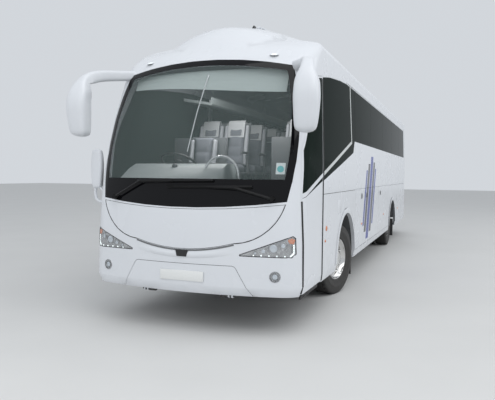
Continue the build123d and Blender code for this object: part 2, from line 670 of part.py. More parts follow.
# Underframe: two rails that drop under the luggage bays, cross members and front brackets
RAIL_LOW, RAIL_HIGH = 600, 760
BEAM_LOW, BEAM_HIGH = 450, 520
BAY_FRONT, BAY_REAR = BAY_DOORS[0][0], BAY_DOORS[-1][1]
FRAME_FRONT = 350
FRAME_REAR = LENGTH - 330
BULKHEAD = 35
RAIL_LEG = 75                  # the rails' drop to the bay's beams is this long
CROSS = 50                     # a cross member is this long along the coach
CROSS_HEIGHTS = (RAIL_LOW + 20, RAIL_HIGH - 20)
BEAM_HALF = 1180               # half length of the beams under the bay


def ladder(line, stations, half, heights):
    """Two rails of a side outline with cross members."""
    rail = side_prism(line, RAIL_SIDES)
    whole = rail + mirrored(rail)
    for station in stations:
        whole += block((station, station + CROSS), (-half, half), heights)
    return whole


leg_front, leg_rear = BAY_FRONT - RAIL_LEG, BAY_REAR + RAIL_LEG
nodes["underframe_front"] = ladder(
    [(FRAME_FRONT, RAIL_LOW), (leg_front, RAIL_LOW), (leg_front, BEAM_LOW), (BAY_FRONT, BEAM_LOW),
     (BAY_FRONT, RAIL_HIGH), (FRAME_FRONT, RAIL_HIGH)],
    (FRAME_FRONT, 1400, 2000, 3000), RAIL_SIDES[0], CROSS_HEIGHTS)
nodes["underframe_middle"] = ladder(
    [(BAY_FRONT, BEAM_LOW), (BAY_REAR, BEAM_LOW), (BAY_REAR, BEAM_HIGH), (BAY_FRONT, BEAM_HIGH)],
    (BAY_FRONT, 4500, 5600, 6800, BAY_REAR - CROSS), BEAM_HALF, (BEAM_LOW, BEAM_HIGH))
nodes["underframe_rear"] = ladder(
    [(BAY_REAR, BEAM_LOW), (leg_rear, BEAM_LOW), (leg_rear, RAIL_LOW), (FRAME_REAR, RAIL_LOW),
     (FRAME_REAR, RAIL_HIGH), (BAY_REAR, RAIL_HIGH)],
    (leg_rear, 9200, 9700, FRAME_REAR - CROSS), RAIL_SIDES[0], CROSS_HEIGHTS)

CHEEK = 12                     # thickness and spacing of the cheeks that hold a pin
CHEEK_Y = 22
POST_FOOT = 40                 # the posts and hangers are joined this far up from the rails
POST_TOP = LID_PIVOT[1] + CHEEK_Y
HANGER_Z = 402                 # underside of the bumper's hangers
PIN_LENGTH = 2 * CHEEK_Y
brackets = Part()
for side in (-1, 1):
    sides = (side * RAIL_SIDES[0], side * RAIL_SIDES[1])
    brackets += block((FRAME_FRONT, FRAME_FRONT + CROSS), sides, (RAIL_HIGH, POST_TOP))
    station, height = BUMPER_PIVOT
    brackets += side_prism(
        [(FRAME_FRONT, RAIL_HIGH + POST_FOOT), (FRAME_FRONT, RAIL_LOW), (station + 18, HANGER_Z),
         (station - 12, HANGER_Z), (station - 12, height + 20), (290, RAIL_HIGH),
         (310, RAIL_HIGH + POST_FOOT)], sides)
    brackets += rod(BUMPER_PIN, 160, (at(station), side * 490, height), "y")
    y = side * LID_ARM_Y
    station, height = LID_PIVOT
    for cheek in (-CHEEK_Y, CHEEK_Y):
        brackets += block((station - CHEEK_Y, FRAME_FRONT + 10), (y + cheek - CHEEK / 2, y + cheek + CHEEK / 2),
                          (height - CHEEK_Y, POST_TOP))
    brackets += rod(LID_PIN, PIN_LENGTH, (at(station), y, height), "y")
brackets += block((FRAME_FRONT, FRAME_FRONT + CROSS), (-RAIL_SIDES[1], RAIL_SIDES[1]),
                  (POST_TOP - 60, POST_TOP))
SOCKET = (20, 90)              # towing socket: radius and depth, beside the centre line
SOCKET_AT = (300, 680)         # its side and height
BOSS = 140                     # length of the socket's boss
boss = post(SOCKET[0] + 14, BOSS, (at(FRAME_FRONT - BOSS / 2), *SOCKET_AT), "x")
boss -= rod(*SOCKET, (at(FRAME_FRONT - BOSS + SOCKET[1] / 2), *SOCKET_AT), "x")
nodes["front_brackets"] = gathered(brackets, boss)

# Luggage bay: floor between two bulkheads
inner_half = HALF_WIDTH - WALL
bay = block((BAY_FRONT, BAY_REAR), (-inner_half + 8, inner_half - 8), (BEAM_HIGH, BAY_SILL_Z))
for station in (BAY_FRONT - BULKHEAD, BAY_REAR):
    bay += block((station, station + BULKHEAD), (-inner_half, inner_half), (CREASE_Z, FLOOR_Z - 40))
bay -= block((BAY_FRONT - 90, BAY_FRONT), (-RAIL_SIDES[1], RAIL_SIDES[1]), (0, RAIL_HIGH))
bay -= block((BAY_REAR, BAY_REAR + 90), (-RAIL_SIDES[1], RAIL_SIDES[1]), (0, RAIL_HIGH))
nodes["luggage_bay"] = bay

# Saloon floor with the driver's platform and the aisle's covering, and the entrance steps
PLATFORM_Z = 1100
PLATFORM_END = 1960
FLOOR_PLATE = 40
STEP_Y = (1215, 790, 560, 330)
STEP_Z = (455, 685, 915, PLATFORM_Z)
TREAD = 25
STAIR_FRONT = FRAME_FRONT + 70
STAIR_REAR = DOOR_REAR + 5
STAIR_WALL = 40
AISLE = (2050, 11700)          # stations of the covering in the aisle
AISLE_HALF = 265
AISLE_COVER = 5
well = STEP_Y[-1]              # side of the stairwell towards the platform
floor = side_prism([(STAIR_FRONT, PLATFORM_Z - FLOOR_PLATE), (PLATFORM_END, PLATFORM_Z - FLOOR_PLATE),
                    (PLATFORM_END, FLOOR_Z - FLOOR_PLATE), (REAR_SEAM, FLOOR_Z - FLOOR_PLATE),
                    (REAR_SEAM, FLOOR_Z), (PLATFORM_END - FLOOR_PLATE, FLOOR_Z),
                    (PLATFORM_END - FLOOR_PLATE, PLATFORM_Z), (STAIR_FRONT, PLATFORM_Z)],
                   (-inner_half, well))
floor -= block((0, 700), (-1400, -1000), (PLATFORM_Z - 200, PLATFORM_Z + 100))
floor += block((STAIR_REAR, REAR_SEAM), (well, inner_half), (FLOOR_Z - FLOOR_PLATE, FLOOR_Z))
floor += block((STAIR_REAR, PLATFORM_END), (well, well + TREAD), (PLATFORM_Z - FLOOR_PLATE, FLOOR_Z))
floor += block(AISLE, (-AISLE_HALF, AISLE_HALF), (FLOOR_Z, FLOOR_Z + AISLE_COVER))
nodes["saloon_floor"] = floor

stairs, underside = [], [(STEP_Y[0], STEP_Z[0] - TREAD)]
for (y0, y1), z in zip(zip(STEP_Y, STEP_Y[1:]), STEP_Z):
    stairs += [(y0, z), (y1, z)]
    underside += [(y1 - TREAD, z - TREAD)]
    if y1 != well:
        underside += [(y1 - TREAD, z - TREAD + STEP_Z[1] - STEP_Z[0])]
under_platform = PLATFORM_Z - FLOOR_PLATE
outline = stairs + [(well, under_platform), (well - TREAD, under_platform), *reversed(underside)]
steps = front_prism(front_face(outline), (STAIR_FRONT, STAIR_REAR))
steps += block((STAIR_FRONT - 18, STAIR_FRONT), (well - TREAD, 1060), (SILL_Z, PLATFORM_Z))
steps += block((STAIR_REAR, STAIR_REAR + STAIR_WALL), (well + TREAD, inner_half),
               (CREASE_Z, FLOOR_Z - FLOOR_PLATE))
steps -= block((FRAME_FRONT, STAIR_REAR + 2 * STAIR_WALL), (RAIL_SIDES[0] - SEAM, RAIL_SIDES[1] + SEAM),
               (RAIL_LOW - SEAM, RAIL_HIGH + SEAM))
POLE = (452, 1085)             # station and side of the door's pole
POLE_RADIUS = 20
POLE_TOP = PLATFORM_Z - 10
steps += block((STAIR_FRONT - 18, POLE[0] + 40), (1000, POLE[1] + 38), (POLE_TOP - TREAD, POLE_TOP))
steps -= rod(POLE_RADIUS + PIN_FIT, 60, (at(POLE[0]), POLE[1], POLE_TOP), "z")
nodes["entrance_steps"] = steps

# Entrance door arms on a turning pole: the door swings out and forward, parallel to the side
DOOR_ARM = 450
DOOR_PIN_Y = 1200
DOOR_PIN = 10
DOOR_ARM_Z = (620, 1000)
door_pin_s = POLE[0] + math.sqrt(DOOR_ARM ** 2 - (DOOR_PIN_Y - POLE[1]) ** 2)
pole_foot = STEP_Z[0] + FIT
arms = rod(POLE_RADIUS, POLE_TOP - pole_foot, (at(POLE[0]), POLE[1], (POLE_TOP + pole_foot) / 2), "z")
pole_x, pin_x = at(POLE[0]), at(door_pin_s)
swing = math.degrees(math.atan2(DOOR_PIN_Y - POLE[1], pin_x - pole_x))
for z in DOOR_ARM_Z:
    bar = Pos((pole_x + pin_x) / 2, (POLE[1] + DOOR_PIN_Y) / 2, z) * Rot(0, 0, swing) * Box(DOOR_ARM, 24, 30)
    arms += bar + post(DOOR_PIN + EYE_WALL, 30, (pin_x, DOOR_PIN_Y, z), "z")
    arms -= rod(DOOR_PIN + PIN_FIT, 60, (pin_x, DOOR_PIN_Y, z), "z")
    for lift in (-27, 27):
        lug = Pos(pin_x, (DOOR_PIN_Y - 15 + inner_half + 1) / 2, z + lift) * Box(
            40, inner_half + 1 - DOOR_PIN_Y + 15, 14)
        door += lug
    door += rod(DOOR_PIN, 54, (pin_x, DOOR_PIN_Y, z), "z")
nodes["door_arms"] = arms
nodes["entrance_door"] = door

# Wheel houses: liners bent from flat sheet over the wheels, with an inner wall
LINER = 12
LINER_GAP = 6
LINER_SIDES = 20
HOUSE_INNER = 490
HOUSE_REACH = 645              # the liners end this far from the axle
AXLE_TUBE = 70
houses = []
for spot in ARCHES:
    def liner(radius, sides):
        middle = (at(spot[0]), sum(sides) / 2, spot[1])
        return post(radius, sides[1] - sides[0], middle, "y", LINER_SIDES)

    radius = ARCH_RADIUS + LINER_GAP
    shell = liner(radius + LINER, (HOUSE_INNER, inner_half))
    shell -= liner(radius, (HOUSE_INNER + LINER, LEFT[1]))
    shell &= block((spot[0] - HOUSE_REACH, spot[0] + HOUSE_REACH), (0, 1400), (CREASE_Z, FLOOR_Z))
    shell -= post(AXLE_TUBE + 30, 2 * (HOUSE_INNER + 2 * LINER), (at(spot[0]), 0, TYRE_RADIUS), "y")
    houses += [shell, mirrored(shell)]
nodes["wheel_houses"] = gathered(*houses)

# Axles
HUB_Z = TYRE_RADIUS
KINGPIN = 24
EYE_HALF = 50                  # half height of the axle's kingpin eye
BELLOW = 80                    # radius of the air springs
BELLOW_Y = 400
beam = front_face([(-790, 475), (-690, 470), (-560, 415), (560, 415), (690, 470), (790, 475),
                     (790, 550), (680, 545), (540, 490), (-540, 490), (-680, 545), (-790, 550)])
front_axle = front_prism(beam, (FRONT_AXLE - 45, FRONT_AXLE + 45))
for side in (-1, 1):
    front_axle += post(KINGPIN + 24, 2 * EYE_HALF, (at(FRONT_AXLE), side * KINGPIN_Y, HUB_Z), "z")
    bellow = (at(FRONT_AXLE), side * BELLOW_Y, (RAIL_LOW + 490) / 2)
    front_axle += post(BELLOW, RAIL_LOW - 490, bellow, "z", 12)
for side in (-1, 1):
    front_axle -= rod(KINGPIN + PIN_FIT, 300, (at(FRONT_AXLE), side * KINGPIN_Y, HUB_Z), "z")
nodes["front_axle"] = front_axle

SPINDLE = 50
DIFFERENTIAL = ((90, 250), (150, 160), (190, 60))     # radius and side of its sections
WHEEL_SIDES = 20               # flats round a tyre or a rim
HUB_SIDES = 10


def flats_ring(radius, y, sides):
    """Corners of a regular outline about +Y, with flats at the radius and one flat underneath."""
    corner, step = radius / math.cos(math.pi / sides), 2 * math.pi / sides
    return [Vector(corner * math.cos(step * (i + 0.5)), y, corner * math.sin(step * (i + 0.5)))
            for i in range(sides)]


def stack(sections, sides=WHEEL_SIDES):
    """Many-sided body about +Y through sections of (radius to the flats, y)."""
    return faceted([flats_ring(r, y, sides) for r, y in sections], flat=True)


def both_ends(sections):
    """Sections with their mirror images at the other end."""
    return [(r, -y) for r, y in sections] + [(r, y) for r, y in reversed(sections)]


rear_axle = post(AXLE_TUBE, 1280, (at(REAR_AXLE), 0, HUB_Z), "y", HUB_SIDES)
rear_axle += rod(SPINDLE, 1740, (at(REAR_AXLE), 0, HUB_Z), "y")
rear_axle += Pos(at(REAR_AXLE), 0, HUB_Z) * stack(both_ends(DIFFERENTIAL), HUB_SIDES)
for side in (-1, 1):
    bellow = (at(REAR_AXLE), side * BELLOW_Y, (RAIL_LOW + HUB_Z) / 2)
    rear_axle += post(BELLOW, RAIL_LOW - HUB_Z, bellow, "z", 12)
nodes["rear_axle"] = rear_axle

# Wheels, drawn about +Y at the origin with the outer face towards +Y
BEAD_HALF = 112                # half width of the tyre at the rim
BEAD_WALL = 95                 # height of the side wall above the rim at its widest
SHOULDER = (55, 30)            # the tread's rounding, down and in from its edge
RIM_WALL = 9
RIM_LIP = (14, 7)              # height and width of the rim's flange
DISC = 14                      # thickness of the wheel disc
DISC_FLAT = 192                # radius of its flat middle
HAND_HOLES = 8
HAND_HOLE = (20, 234)          # radius and pitch radius


def tyre():
    half = TYRE_WIDTH / 2
    widest, (down, inward) = RIM_RADIUS + BEAD_WALL, SHOULDER
    body = stack(both_ends([(widest, half), (TYRE_RADIUS - down, half - 4), (TYRE_RADIUS, half - inward)]))
    recess = stack([(RIM_RADIUS, BEAD_HALF), (widest - 6, half)])
    bore = stack([(RIM_RADIUS, -half), (RIM_RADIUS, half)])
    return body - recess - mirrored(recess) - bore


def rim(disc_y, dish):
    """Rim barrel with flanges and a disc about disc_y that is dished by dish."""
    (lip, reach), end = RIM_LIP, BEAD_HALF + RIM_LIP[1]
    barrel = stack(both_ends([(RIM_RADIUS + lip, end), (RIM_RADIUS, BEAD_HALF)]))
    barrel -= stack([(RIM_RADIUS - RIM_WALL, -end), (RIM_RADIUS - RIM_WALL, end)])
    edge, deep = RIM_RADIUS - RIM_WALL + 2, abs(dish)
    disc = stack([(edge, -deep - DISC / 2), (edge, -deep + DISC / 2), (DISC_FLAT + 4, DISC / 2)])
    disc -= stack([(edge - 3, -deep - DISC / 2), (DISC_FLAT, -DISC / 2)])
    disc = disc if dish > 0 else mirrored(disc)
    return barrel + Pos(0, disc_y, 0) * disc


def hand_holes(disc_y):
    radius, pitch = HAND_HOLE
    holes = Part()
    for turn in range(HAND_HOLES):
        angle = math.radians(360 / HAND_HOLES * (turn + 0.5))
        middle = (pitch * math.cos(angle), disc_y, pitch * math.sin(angle))
        holes += post(radius, TYRE_WIDTH / 2, middle, "y", 5)
    return holes


FRONT_HUB = 100
REAR_HUB = 120
FRONT_SPINDLE = 35
FRONT_DISC = (70, 25)          # side and dish of the front wheels' discs
REAR_DISH = 70
HUB_FACE = 110
front_centre = TRACK_OUTER - TYRE_WIDTH / 2
hub_in = 940 - front_centre
front_rim = rim(*FRONT_DISC) - hand_holes(FRONT_DISC[0])
front_rim += post(FRONT_HUB, HUB_FACE - hub_in, (0, (hub_in + HUB_FACE) / 2, 0), "y", HUB_SIDES)
front_rim -= rod(FRONT_SPINDLE + PIN_FIT, 2 * (60 - hub_in), (0, hub_in, 0), "y")
knuckle_spindle_end = front_centre + 55

twin_middle = -TWIN_SPACING / 2
outer_rim = rim(twin_middle + DISC / 2 - 0.5, -REAR_DISH)
rear_rim = outer_rim - hand_holes(twin_middle + REAR_DISH)
rear_rim += Pos(0, 2 * twin_middle, 0) * mirrored(outer_rim)
rear_rim += post(REAR_HUB, 260, (0, twin_middle - 60, 0), "y", HUB_SIDES)
rear_rim -= rod(SPINDLE + PIN_FIT, 400, (0, twin_middle - 190, 0), "y")

one_tyre = tyre()
twin_tyres = one_tyre + Pos(0, -TWIN_SPACING, 0) * one_tyre


def place_front(shape):
    """Left front place, turned about the kingpin as the wheels stand."""
    shape = Pos(at(FRONT_AXLE), front_centre, HUB_Z) * shape
    return turned(shape, 1)


def turned(shape, side):
    pivot = Axis((at(FRONT_AXLE), side * KINGPIN_Y, HUB_Z), (0, 0, 1))
    return shape.rotate(pivot, STEER_AT_REST)


def right_front(shape):
    """Right front place: mirrored first, then turned the same way."""
    return turned(mirrored(Pos(at(FRONT_AXLE), front_centre, HUB_Z) * shape), -1)


rear_place = Pos(at(REAR_AXLE), front_centre, HUB_Z)
nodes["tyre_front_left"] = place_front(one_tyre)
nodes["rim_front_left"] = place_front(front_rim)
nodes["tyre_front_right"] = right_front(one_tyre)
nodes["rim_front_right"] = right_front(front_rim)
nodes["tyres_rear_left"] = rear_place * twin_tyres
nodes["rims_rear_left"] = rear_place * rear_rim
nodes["tyres_rear_right"] = mirrored(rear_place * twin_tyres)
nodes["rims_rear_right"] = mirrored(rear_place * rear_rim)

# Steering knuckles and track rod
ARM_REACH = 200                # steering arms reach this far behind the kingpins
ARM_Z = 440
LUG_GAP = 1
web_in = KINGPIN_Y + KINGPIN + 24 + 6
knuckle = block((FRONT_AXLE - 60, FRONT_AXLE + 60), (web_in, web_in + 40),
                (HUB_Z - EYE_HALF - 45, HUB_Z + EYE_HALF + 45))
for side in (-1, 1):
    low = HUB_Z + side * (EYE_HALF + LUG_GAP)
    high = HUB_Z + side * (EYE_HALF + 45)
    lug = block((FRONT_AXLE - 40, FRONT_AXLE + 40), (KINGPIN_Y, web_in + 1), (low, high))
    lug += post(40, abs(high - low), (at(FRONT_AXLE), KINGPIN_Y, (low + high) / 2), "z")
    knuckle += lug
knuckle += rod(KINGPIN, 2 * EYE_HALF + 60, (at(FRONT_AXLE), KINGPIN_Y, HUB_Z), "z")
knuckle += rod(FRONT_SPINDLE, knuckle_spindle_end - web_in - 20,
               (at(FRONT_AXLE), (knuckle_spindle_end + web_in + 20) / 2, HUB_Z), "y")
arm = block((FRONT_AXLE, FRONT_AXLE + ARM_REACH), (KINGPIN_Y - 15, KINGPIN_Y + 15), (ARM_Z - 22, ARM_Z - 2))
arm_pin = rod(14, 50, (at(FRONT_AXLE + ARM_REACH), KINGPIN_Y, ARM_Z + 3), "z")
knuckle += arm + post(24, 20, (at(FRONT_AXLE + ARM_REACH), KINGPIN_Y, ARM_Z - 12), "z") + arm_pin
nodes["knuckle_left"] = turned(knuckle, 1)
nodes["knuckle_right"] = turned(mirrored(knuckle), -1)

angle = math.radians(STEER_AT_REST)
rod_x = at(FRONT_AXLE) - ARM_REACH * math.cos(angle)
rod_y = -ARM_REACH * math.sin(angle)
track = post(16, 2 * KINGPIN_Y, (rod_x, rod_y, ARM_Z + 15), "y", 6)
for side in (-1, 1):
    track += post(26, 28, (rod_x, rod_y + side * KINGPIN_Y, ARM_Z + 15), "z")
    track -= rod(14 + PIN_FIT, 60, (rod_x, rod_y + side * KINGPIN_Y, ARM_Z + 10), "z")
nodes["track_rod"] = track

# Engine, one plain block between the rails at the back
ENGINE = ((10050, 11500), (540, 1300))     # stations and heights
nodes["engine"] = block(ENGINE[0], (-RAIL_SIDES[0], RAIL_SIDES[0]), ENGINE[1])

# Dashboard, steering column and wheel
DRIVER_Y = -640
dash_line = [(345, 1655), (560, 1790), (720, 1855), (900, 1850), (990, 1780), (1000, 1650), (930, 1560),
             (900, PLATFORM_Z), (620, PLATFORM_Z), (560, 1500), (345, 1560)]
dash = side_prism(dash_line, (-1030, 230))
WHEEL_CENTRE = (1130, DRIVER_Y, 1880)
COLUMN_LEAN = 28               # the column leans back from upright
column_axis = Vector(-math.sin(math.radians(COLUMN_LEAN)), 0, math.cos(math.radians(COLUMN_LEAN)))
wheel_at = Pos(at(WHEEL_CENTRE[0]), WHEEL_CENTRE[1], WHEEL_CENTRE[2]) * Rot(0, -COLUMN_LEAN, 0)
SHAFT = (12, 64)               # steering shaft: radius and length above the column
dash += wheel_at * post(38, 360, (0, 0, -230), "z")
dash += wheel_at * Pos(0, 0, -28) * Cylinder(*SHAFT)
nodes["dashboard"] = dash
STEERING = (230, 16)           # steering wheel's rim: radius and thickness from its middle line
SPOKE = (36, 12)
grip, thick = STEERING
outer = stack(both_ends([(grip + 6, thick), (grip + thick, 6)]), 16)
inner = stack(both_ends([(grip - 6, thick), (grip - thick, 6)]), 16)
wide, deep = SPOKE
hub = post(50, 40, (0, 0, 0), "z", HUB_SIDES) + Pos(0, 0, -deep) * Box(2 * grip - 10, *SPOKE)
hub += Pos(0, -grip / 2, -deep) * Box(wide, grip, deep)
steering = wheel_at * (Rot(90, 0, 0) * (outer - inner) + hub)
steering -= wheel_at * Pos(0, 0, -30) * Cylinder(SHAFT[0] + PIN_FIT, 72)
nodes["steering_wheel"] = steering

# Seats: side outline of a seat with its back to the rear
ROW_PITCH = 800
ROWS = 12
ROW_FRONT = 2300
SEAT_Y = (290, 1170)
SEAT_H = 430
seat_outline = ((0, 300), (0, 400), (60, SEAT_H), (400, SEAT_H - 20), (552, 1112), (578, 1140),
                (630, 1140), (646, 1118), (520, 340), (440, 290))
PEDESTAL = ((120, 340), 150, 300)     # its stations, its distance from the seat's ends, its height


def seat(station, floor_z, sides):
    """Double or single seat: cushion and back of one side outline on a pedestal."""
    body = side_prism([(station + s, floor_z + z) for s, z in seat_outline], sides)
    (front, rear), ends, height = PEDESTAL
    feet = (min(sides) + ends, max(sides) - ends)
    return body + block((station + front, station + rear), feet, (floor_z, floor_z + height))


seats = []
for row in range(ROWS):
    station = ROW_FRONT + row * ROW_PITCH
    left_seat = seat(station, FLOOR_Z, SEAT_Y)
    seats += [left_seat, mirrored(left_seat)]
nodes["passenger_seats"] = gathered(*seats)
driver = seat(1350, PLATFORM_Z + 60, (DRIVER_Y - 250, DRIVER_Y + 250))
driver += block((1450, 1720), (DRIVER_Y - 130, DRIVER_Y + 130), (PLATFORM_Z, PLATFORM_Z + 365))
nodes["driver_seat"] = driver

# Luggage racks along both sides above the windows
def inner_side(z):
    lean = (HALF_WIDTH - ROOF_EDGE_HALF) / (ROOF_EDGE_Z - WALL - LEAN_Z)
    return HALF_WIDTH - WALL - lean * (z - LEAN_Z)


rack = front_prism(front_face([(720, 2790), (740, 2770), (inner_side(2850), 2850), (inner_side(2895), 2895),
                                 (752, 2812), (745, 2890), (720, 2890)]), (2350, REAR_SEAM - 100))
nodes["luggage_racks"] = rack + mirrored(rack)

# Mirrors: horn-shaped heads over the front corners and a low one on the driver's side
MIRROR_HEAD = (
    # height, station, side, width, depth
    (2150, 62, 1345, 100, 80),
    (2190, 50, 1350, 165, 140),
    (2260, 42, 1355, 215, 180),
    (2400, 33, 1360, 252, 208),
    (2560, 30, 1362, 262, 216),
    (2700, 36, 1362, 240, 200),
    (2790, 52, 1356, 200, 160),
    (2860, 85, 1340, 130, 110),
)
MIRROR_ARM = (
    # station, side, height, section's height and width, and its direction forward, out and up
    (760, 1010, 2950, 120, 90, (0.80, 0.60, -0.05)),
    (520, 1180, 2925, 125, 95, (0.85, 0.45, -0.10)),
    (330, 1270, 2895, 135, 105, (0.85, 0.40, -0.25)),
    (190, 1322, 2850, 150, 120, (0.75, 0.30, -0.55)),
    (110, 1350, 2770, 165, 130, (0.50, 0.15, -0.85)),
)
MIRROR_BACK = 128              # flat rear face of the heads
MIRROR_TOP = 2790              # the arm joins the head above the flat face
MIRROR_GLASS = (1360, 2480, 196, 470, 8)   # side, height, width, tallness and thickness
MIRROR_CUT = 0.29              # corner cut as a share of a section's smaller side


def ring(plane, wide, tall):
    """Corners of a rectangle with cut corners on a plane."""
    x, y, cut = wide / 2, tall / 2, MIRROR_CUT * min(wide, tall)
    quarter = [(x, y - cut), (x - cut, y)]
    corners = [*quarter, *[(-a, b) for a, b in reversed(quarter)],
               *[(-a, -b) for a, b in quarter], *[(a, -b) for a, b in reversed(quarter)]]
    return [plane.from_local_coords(Vector(a, b, 0)) for a, b in corners]


def pane(station, y, z, wide, tall, thick):
    """Upright mirror glass facing the rear."""
    plane = Plane(origin=(at(station), y, z), x_dir=(0, 1, 0), z_dir=(1, 0, 0))
    face = Face(Wire.make_polygon(ring(plane, wide, tall), close=True))
    return extrude(face, amount=thick, dir=(1, 0, 0))


rings = [ring(Plane(origin=(at(s), y, z)), deep, wide) for z, s, y, wide, deep in MIRROR_HEAD]
head = faceted(rings)
rings = []
for s, y, z, tall, wide, way in MIRROR_ARM:
    rings.append(ring(Plane(origin=(at(s), y, z), x_dir=(-way[1], way[0], 0), z_dir=way), wide, tall))
head += faceted(rings)
head -= block((MIRROR_BACK, 600), (1200, 1600), (1900, MIRROR_TOP))
reach = NOSE_X + MIRROR_REACH - head.bounding_box().max.X
head = Pos(reach, 0, 0) * head
mirror_pane = pane(MIRROR_BACK - reach, *MIRROR_GLASS)
head = largest(head - mirror_pane - front_outer)

LOW_MIRROR = ((1545, 118, 78), (1640, 140, 90), (1850, 152, 100), (2020, 120, 80))
LOW_MIRROR_AT = (388, 1366)
LOW_MIRROR_BACK = LOW_MIRROR_AT[0] + 36
rings = [ring(Plane(origin=(at(LOW_MIRROR_AT[0]), LOW_MIRROR_AT[1], z)), deep, wide)
         for z, wide, deep in LOW_MIRROR]
low_head = faceted(rings)
low_head -= block((LOW_MIRROR_BACK, 600), (1200, 1600), (1500, 2100))
bracket = front_prism(front_face([(1425, 1560), (1392, 1400), (1250, 1340), (1250, 1400), (1352, 1440),
                                    (1372, 1560)]), (368, 404))
bracket += front_prism(front_face([(1345, 1560), (1250, 1470), (1250, 1520), (1312, 1580)]), (368, 404))
low_head += bracket - (front_outer & block((300, 500), (1200, 1400), (1300, 1600)))
low_pane = pane(LOW_MIRROR_BACK, LOW_MIRROR_AT[1], 1790, 104, 340, 6)
low_head -= low_pane
nodes["mirrors"] = gathered(head, mirrored(head), mirrored(low_head))
nodes["mirror_glass"] = gathered(mirror_pane, mirrored(mirror_pane), mirrored(low_pane))

# Wipers: two pantograph arms and their blades, lying on the windscreen
WIPER_ARM = 11
BLADE = 13
WIPERS = (
    # pivot, elbow, and the two ends of the blade, each as side and height
    ((-926, 1460), (-555, 1650), (-620, 1645), (342, 1662)),
    ((979, 1478), (598, 1585), (765, 1597), (-203, 1590)),
)
screen_front = front_outer & block((-100, 600), (-1250, 1250), (1300, 1800))


def on_screen(y, z, lift):
    """Point at a side and height, lifted off the windscreen."""
    hits = screen_front.find_intersection_points(Axis((at(-300), y, z), (-1, 0, 0)))
    surface = max(hits, key=lambda hit: hit[0].X)[0]
    return Vector(surface.X + lift, y, z)


def bar(start, end, radius):
    way = end - start
    plane = Plane(origin=(start + end) / 2, z_dir=way.normalized())
    return plane * post(radius, way.length, (0, 0, 0), "z", 4)


def chain(points, radius):
    shape = Part()
    for start, end in zip(points, points[1:]):
        shape += bar(start, end, radius)
    return shape


BLADE_STEPS = 3
wipers = Part()
for pivot, elbow, blade_in, blade_out in WIPERS:
    ends = [(blade_in[0] + (blade_out[0] - blade_in[0]) * i / BLADE_STEPS,
             blade_in[1] + (blade_out[1] - blade_in[1]) * i / BLADE_STEPS) for i in range(BLADE_STEPS + 1)]
    wiper = chain([on_screen(y, z, BLADE + 3) for y, z in ends], BLADE)
    middle = ((blade_in[0] + blade_out[0]) / 2, (blade_in[1] + blade_out[1]) / 2)
    wiper += chain([on_screen(*pivot, 45), on_screen(*elbow, 50), on_screen(*middle, 30)], WIPER_ARM)
    shaft = bar(on_screen(*pivot, -40), on_screen(*pivot, 60), 20)
    wiper += shaft - screen_front
    wipers += wiper
nodes["wipers"] = wipers - screen_front

# White trim strip across the side glass
TRIM = 4
TRIM_LINE = ((2972, CANT_Z - 5), (3072, 2225), (1140, 1728), (PANEL_SEAM + 20, 1508))
TRIM_HALF = 22
proud_back = (saloon(-TRIM, SILL_Z, DOOR_REAR, 3400) - saloon(0, BELOW, DOOR_REAR, 3400)) & block(
    (DOOR_REAR, 3400), LEFT, (1400, 3100))
proud_front = (front_form(-TRIM, SILL_Z) - front_outer) & block((PANEL_SEAM, DOOR_REAR), LEFT, (1400, 2000))


def strip(start, end):
    """Straight band of the trim line, in side view."""
    (s0, z0), (s1, z1) = start, end
    length = math.hypot(s1 - s0, z1 - z0)
    ds, dz = TRIM_HALF * (z1 - z0) / length, TRIM_HALF * (s1 - s0) / length
    return side_prism([(s0 + ds, z0 - dz), (s1 + ds, z1 - dz), (s1 - ds, z1 + dz), (s0 - ds, z0 + dz)], LEFT)


line = strip(*TRIM_LINE[:2]) + strip(*TRIM_LINE[1:3]) + strip(*TRIM_LINE[2:])
line += arch_rod(TRIM_HALF, TRIM_LINE[1], LEFT) + arch_rod(TRIM_HALF, TRIM_LINE[2], LEFT)
rear_strip = (proud_back & line) - block((0, DOOR_REAR + SEAM), LEFT, (1400, 3200))
front_strip = proud_front & line
nodes["rail_trim"] = rear_strip + mirrored(rear_strip)
nodes["entrance_door"] += front_strip & block((PANEL_SEAM + SEAM + 2, DOOR_REAR - SEAM), LEFT, (1400, 2000))

for name, shape in nodes.items():
    solids = shape.solids()
    whole = Compound(children=list(solids)) if len(solids) > 1 else solids[0]
    export_step(whole, f"parts/{name}.step")
    print(name, len(solids), round(whole.volume / 1e6, 1))
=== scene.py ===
"""Touring coach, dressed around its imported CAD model. Metres, in the CAD's row frame."""
import json
import math

import bmesh
import bpy
from mathutils import Matrix, Vector
from mathutils.bvhtree import BVHTree

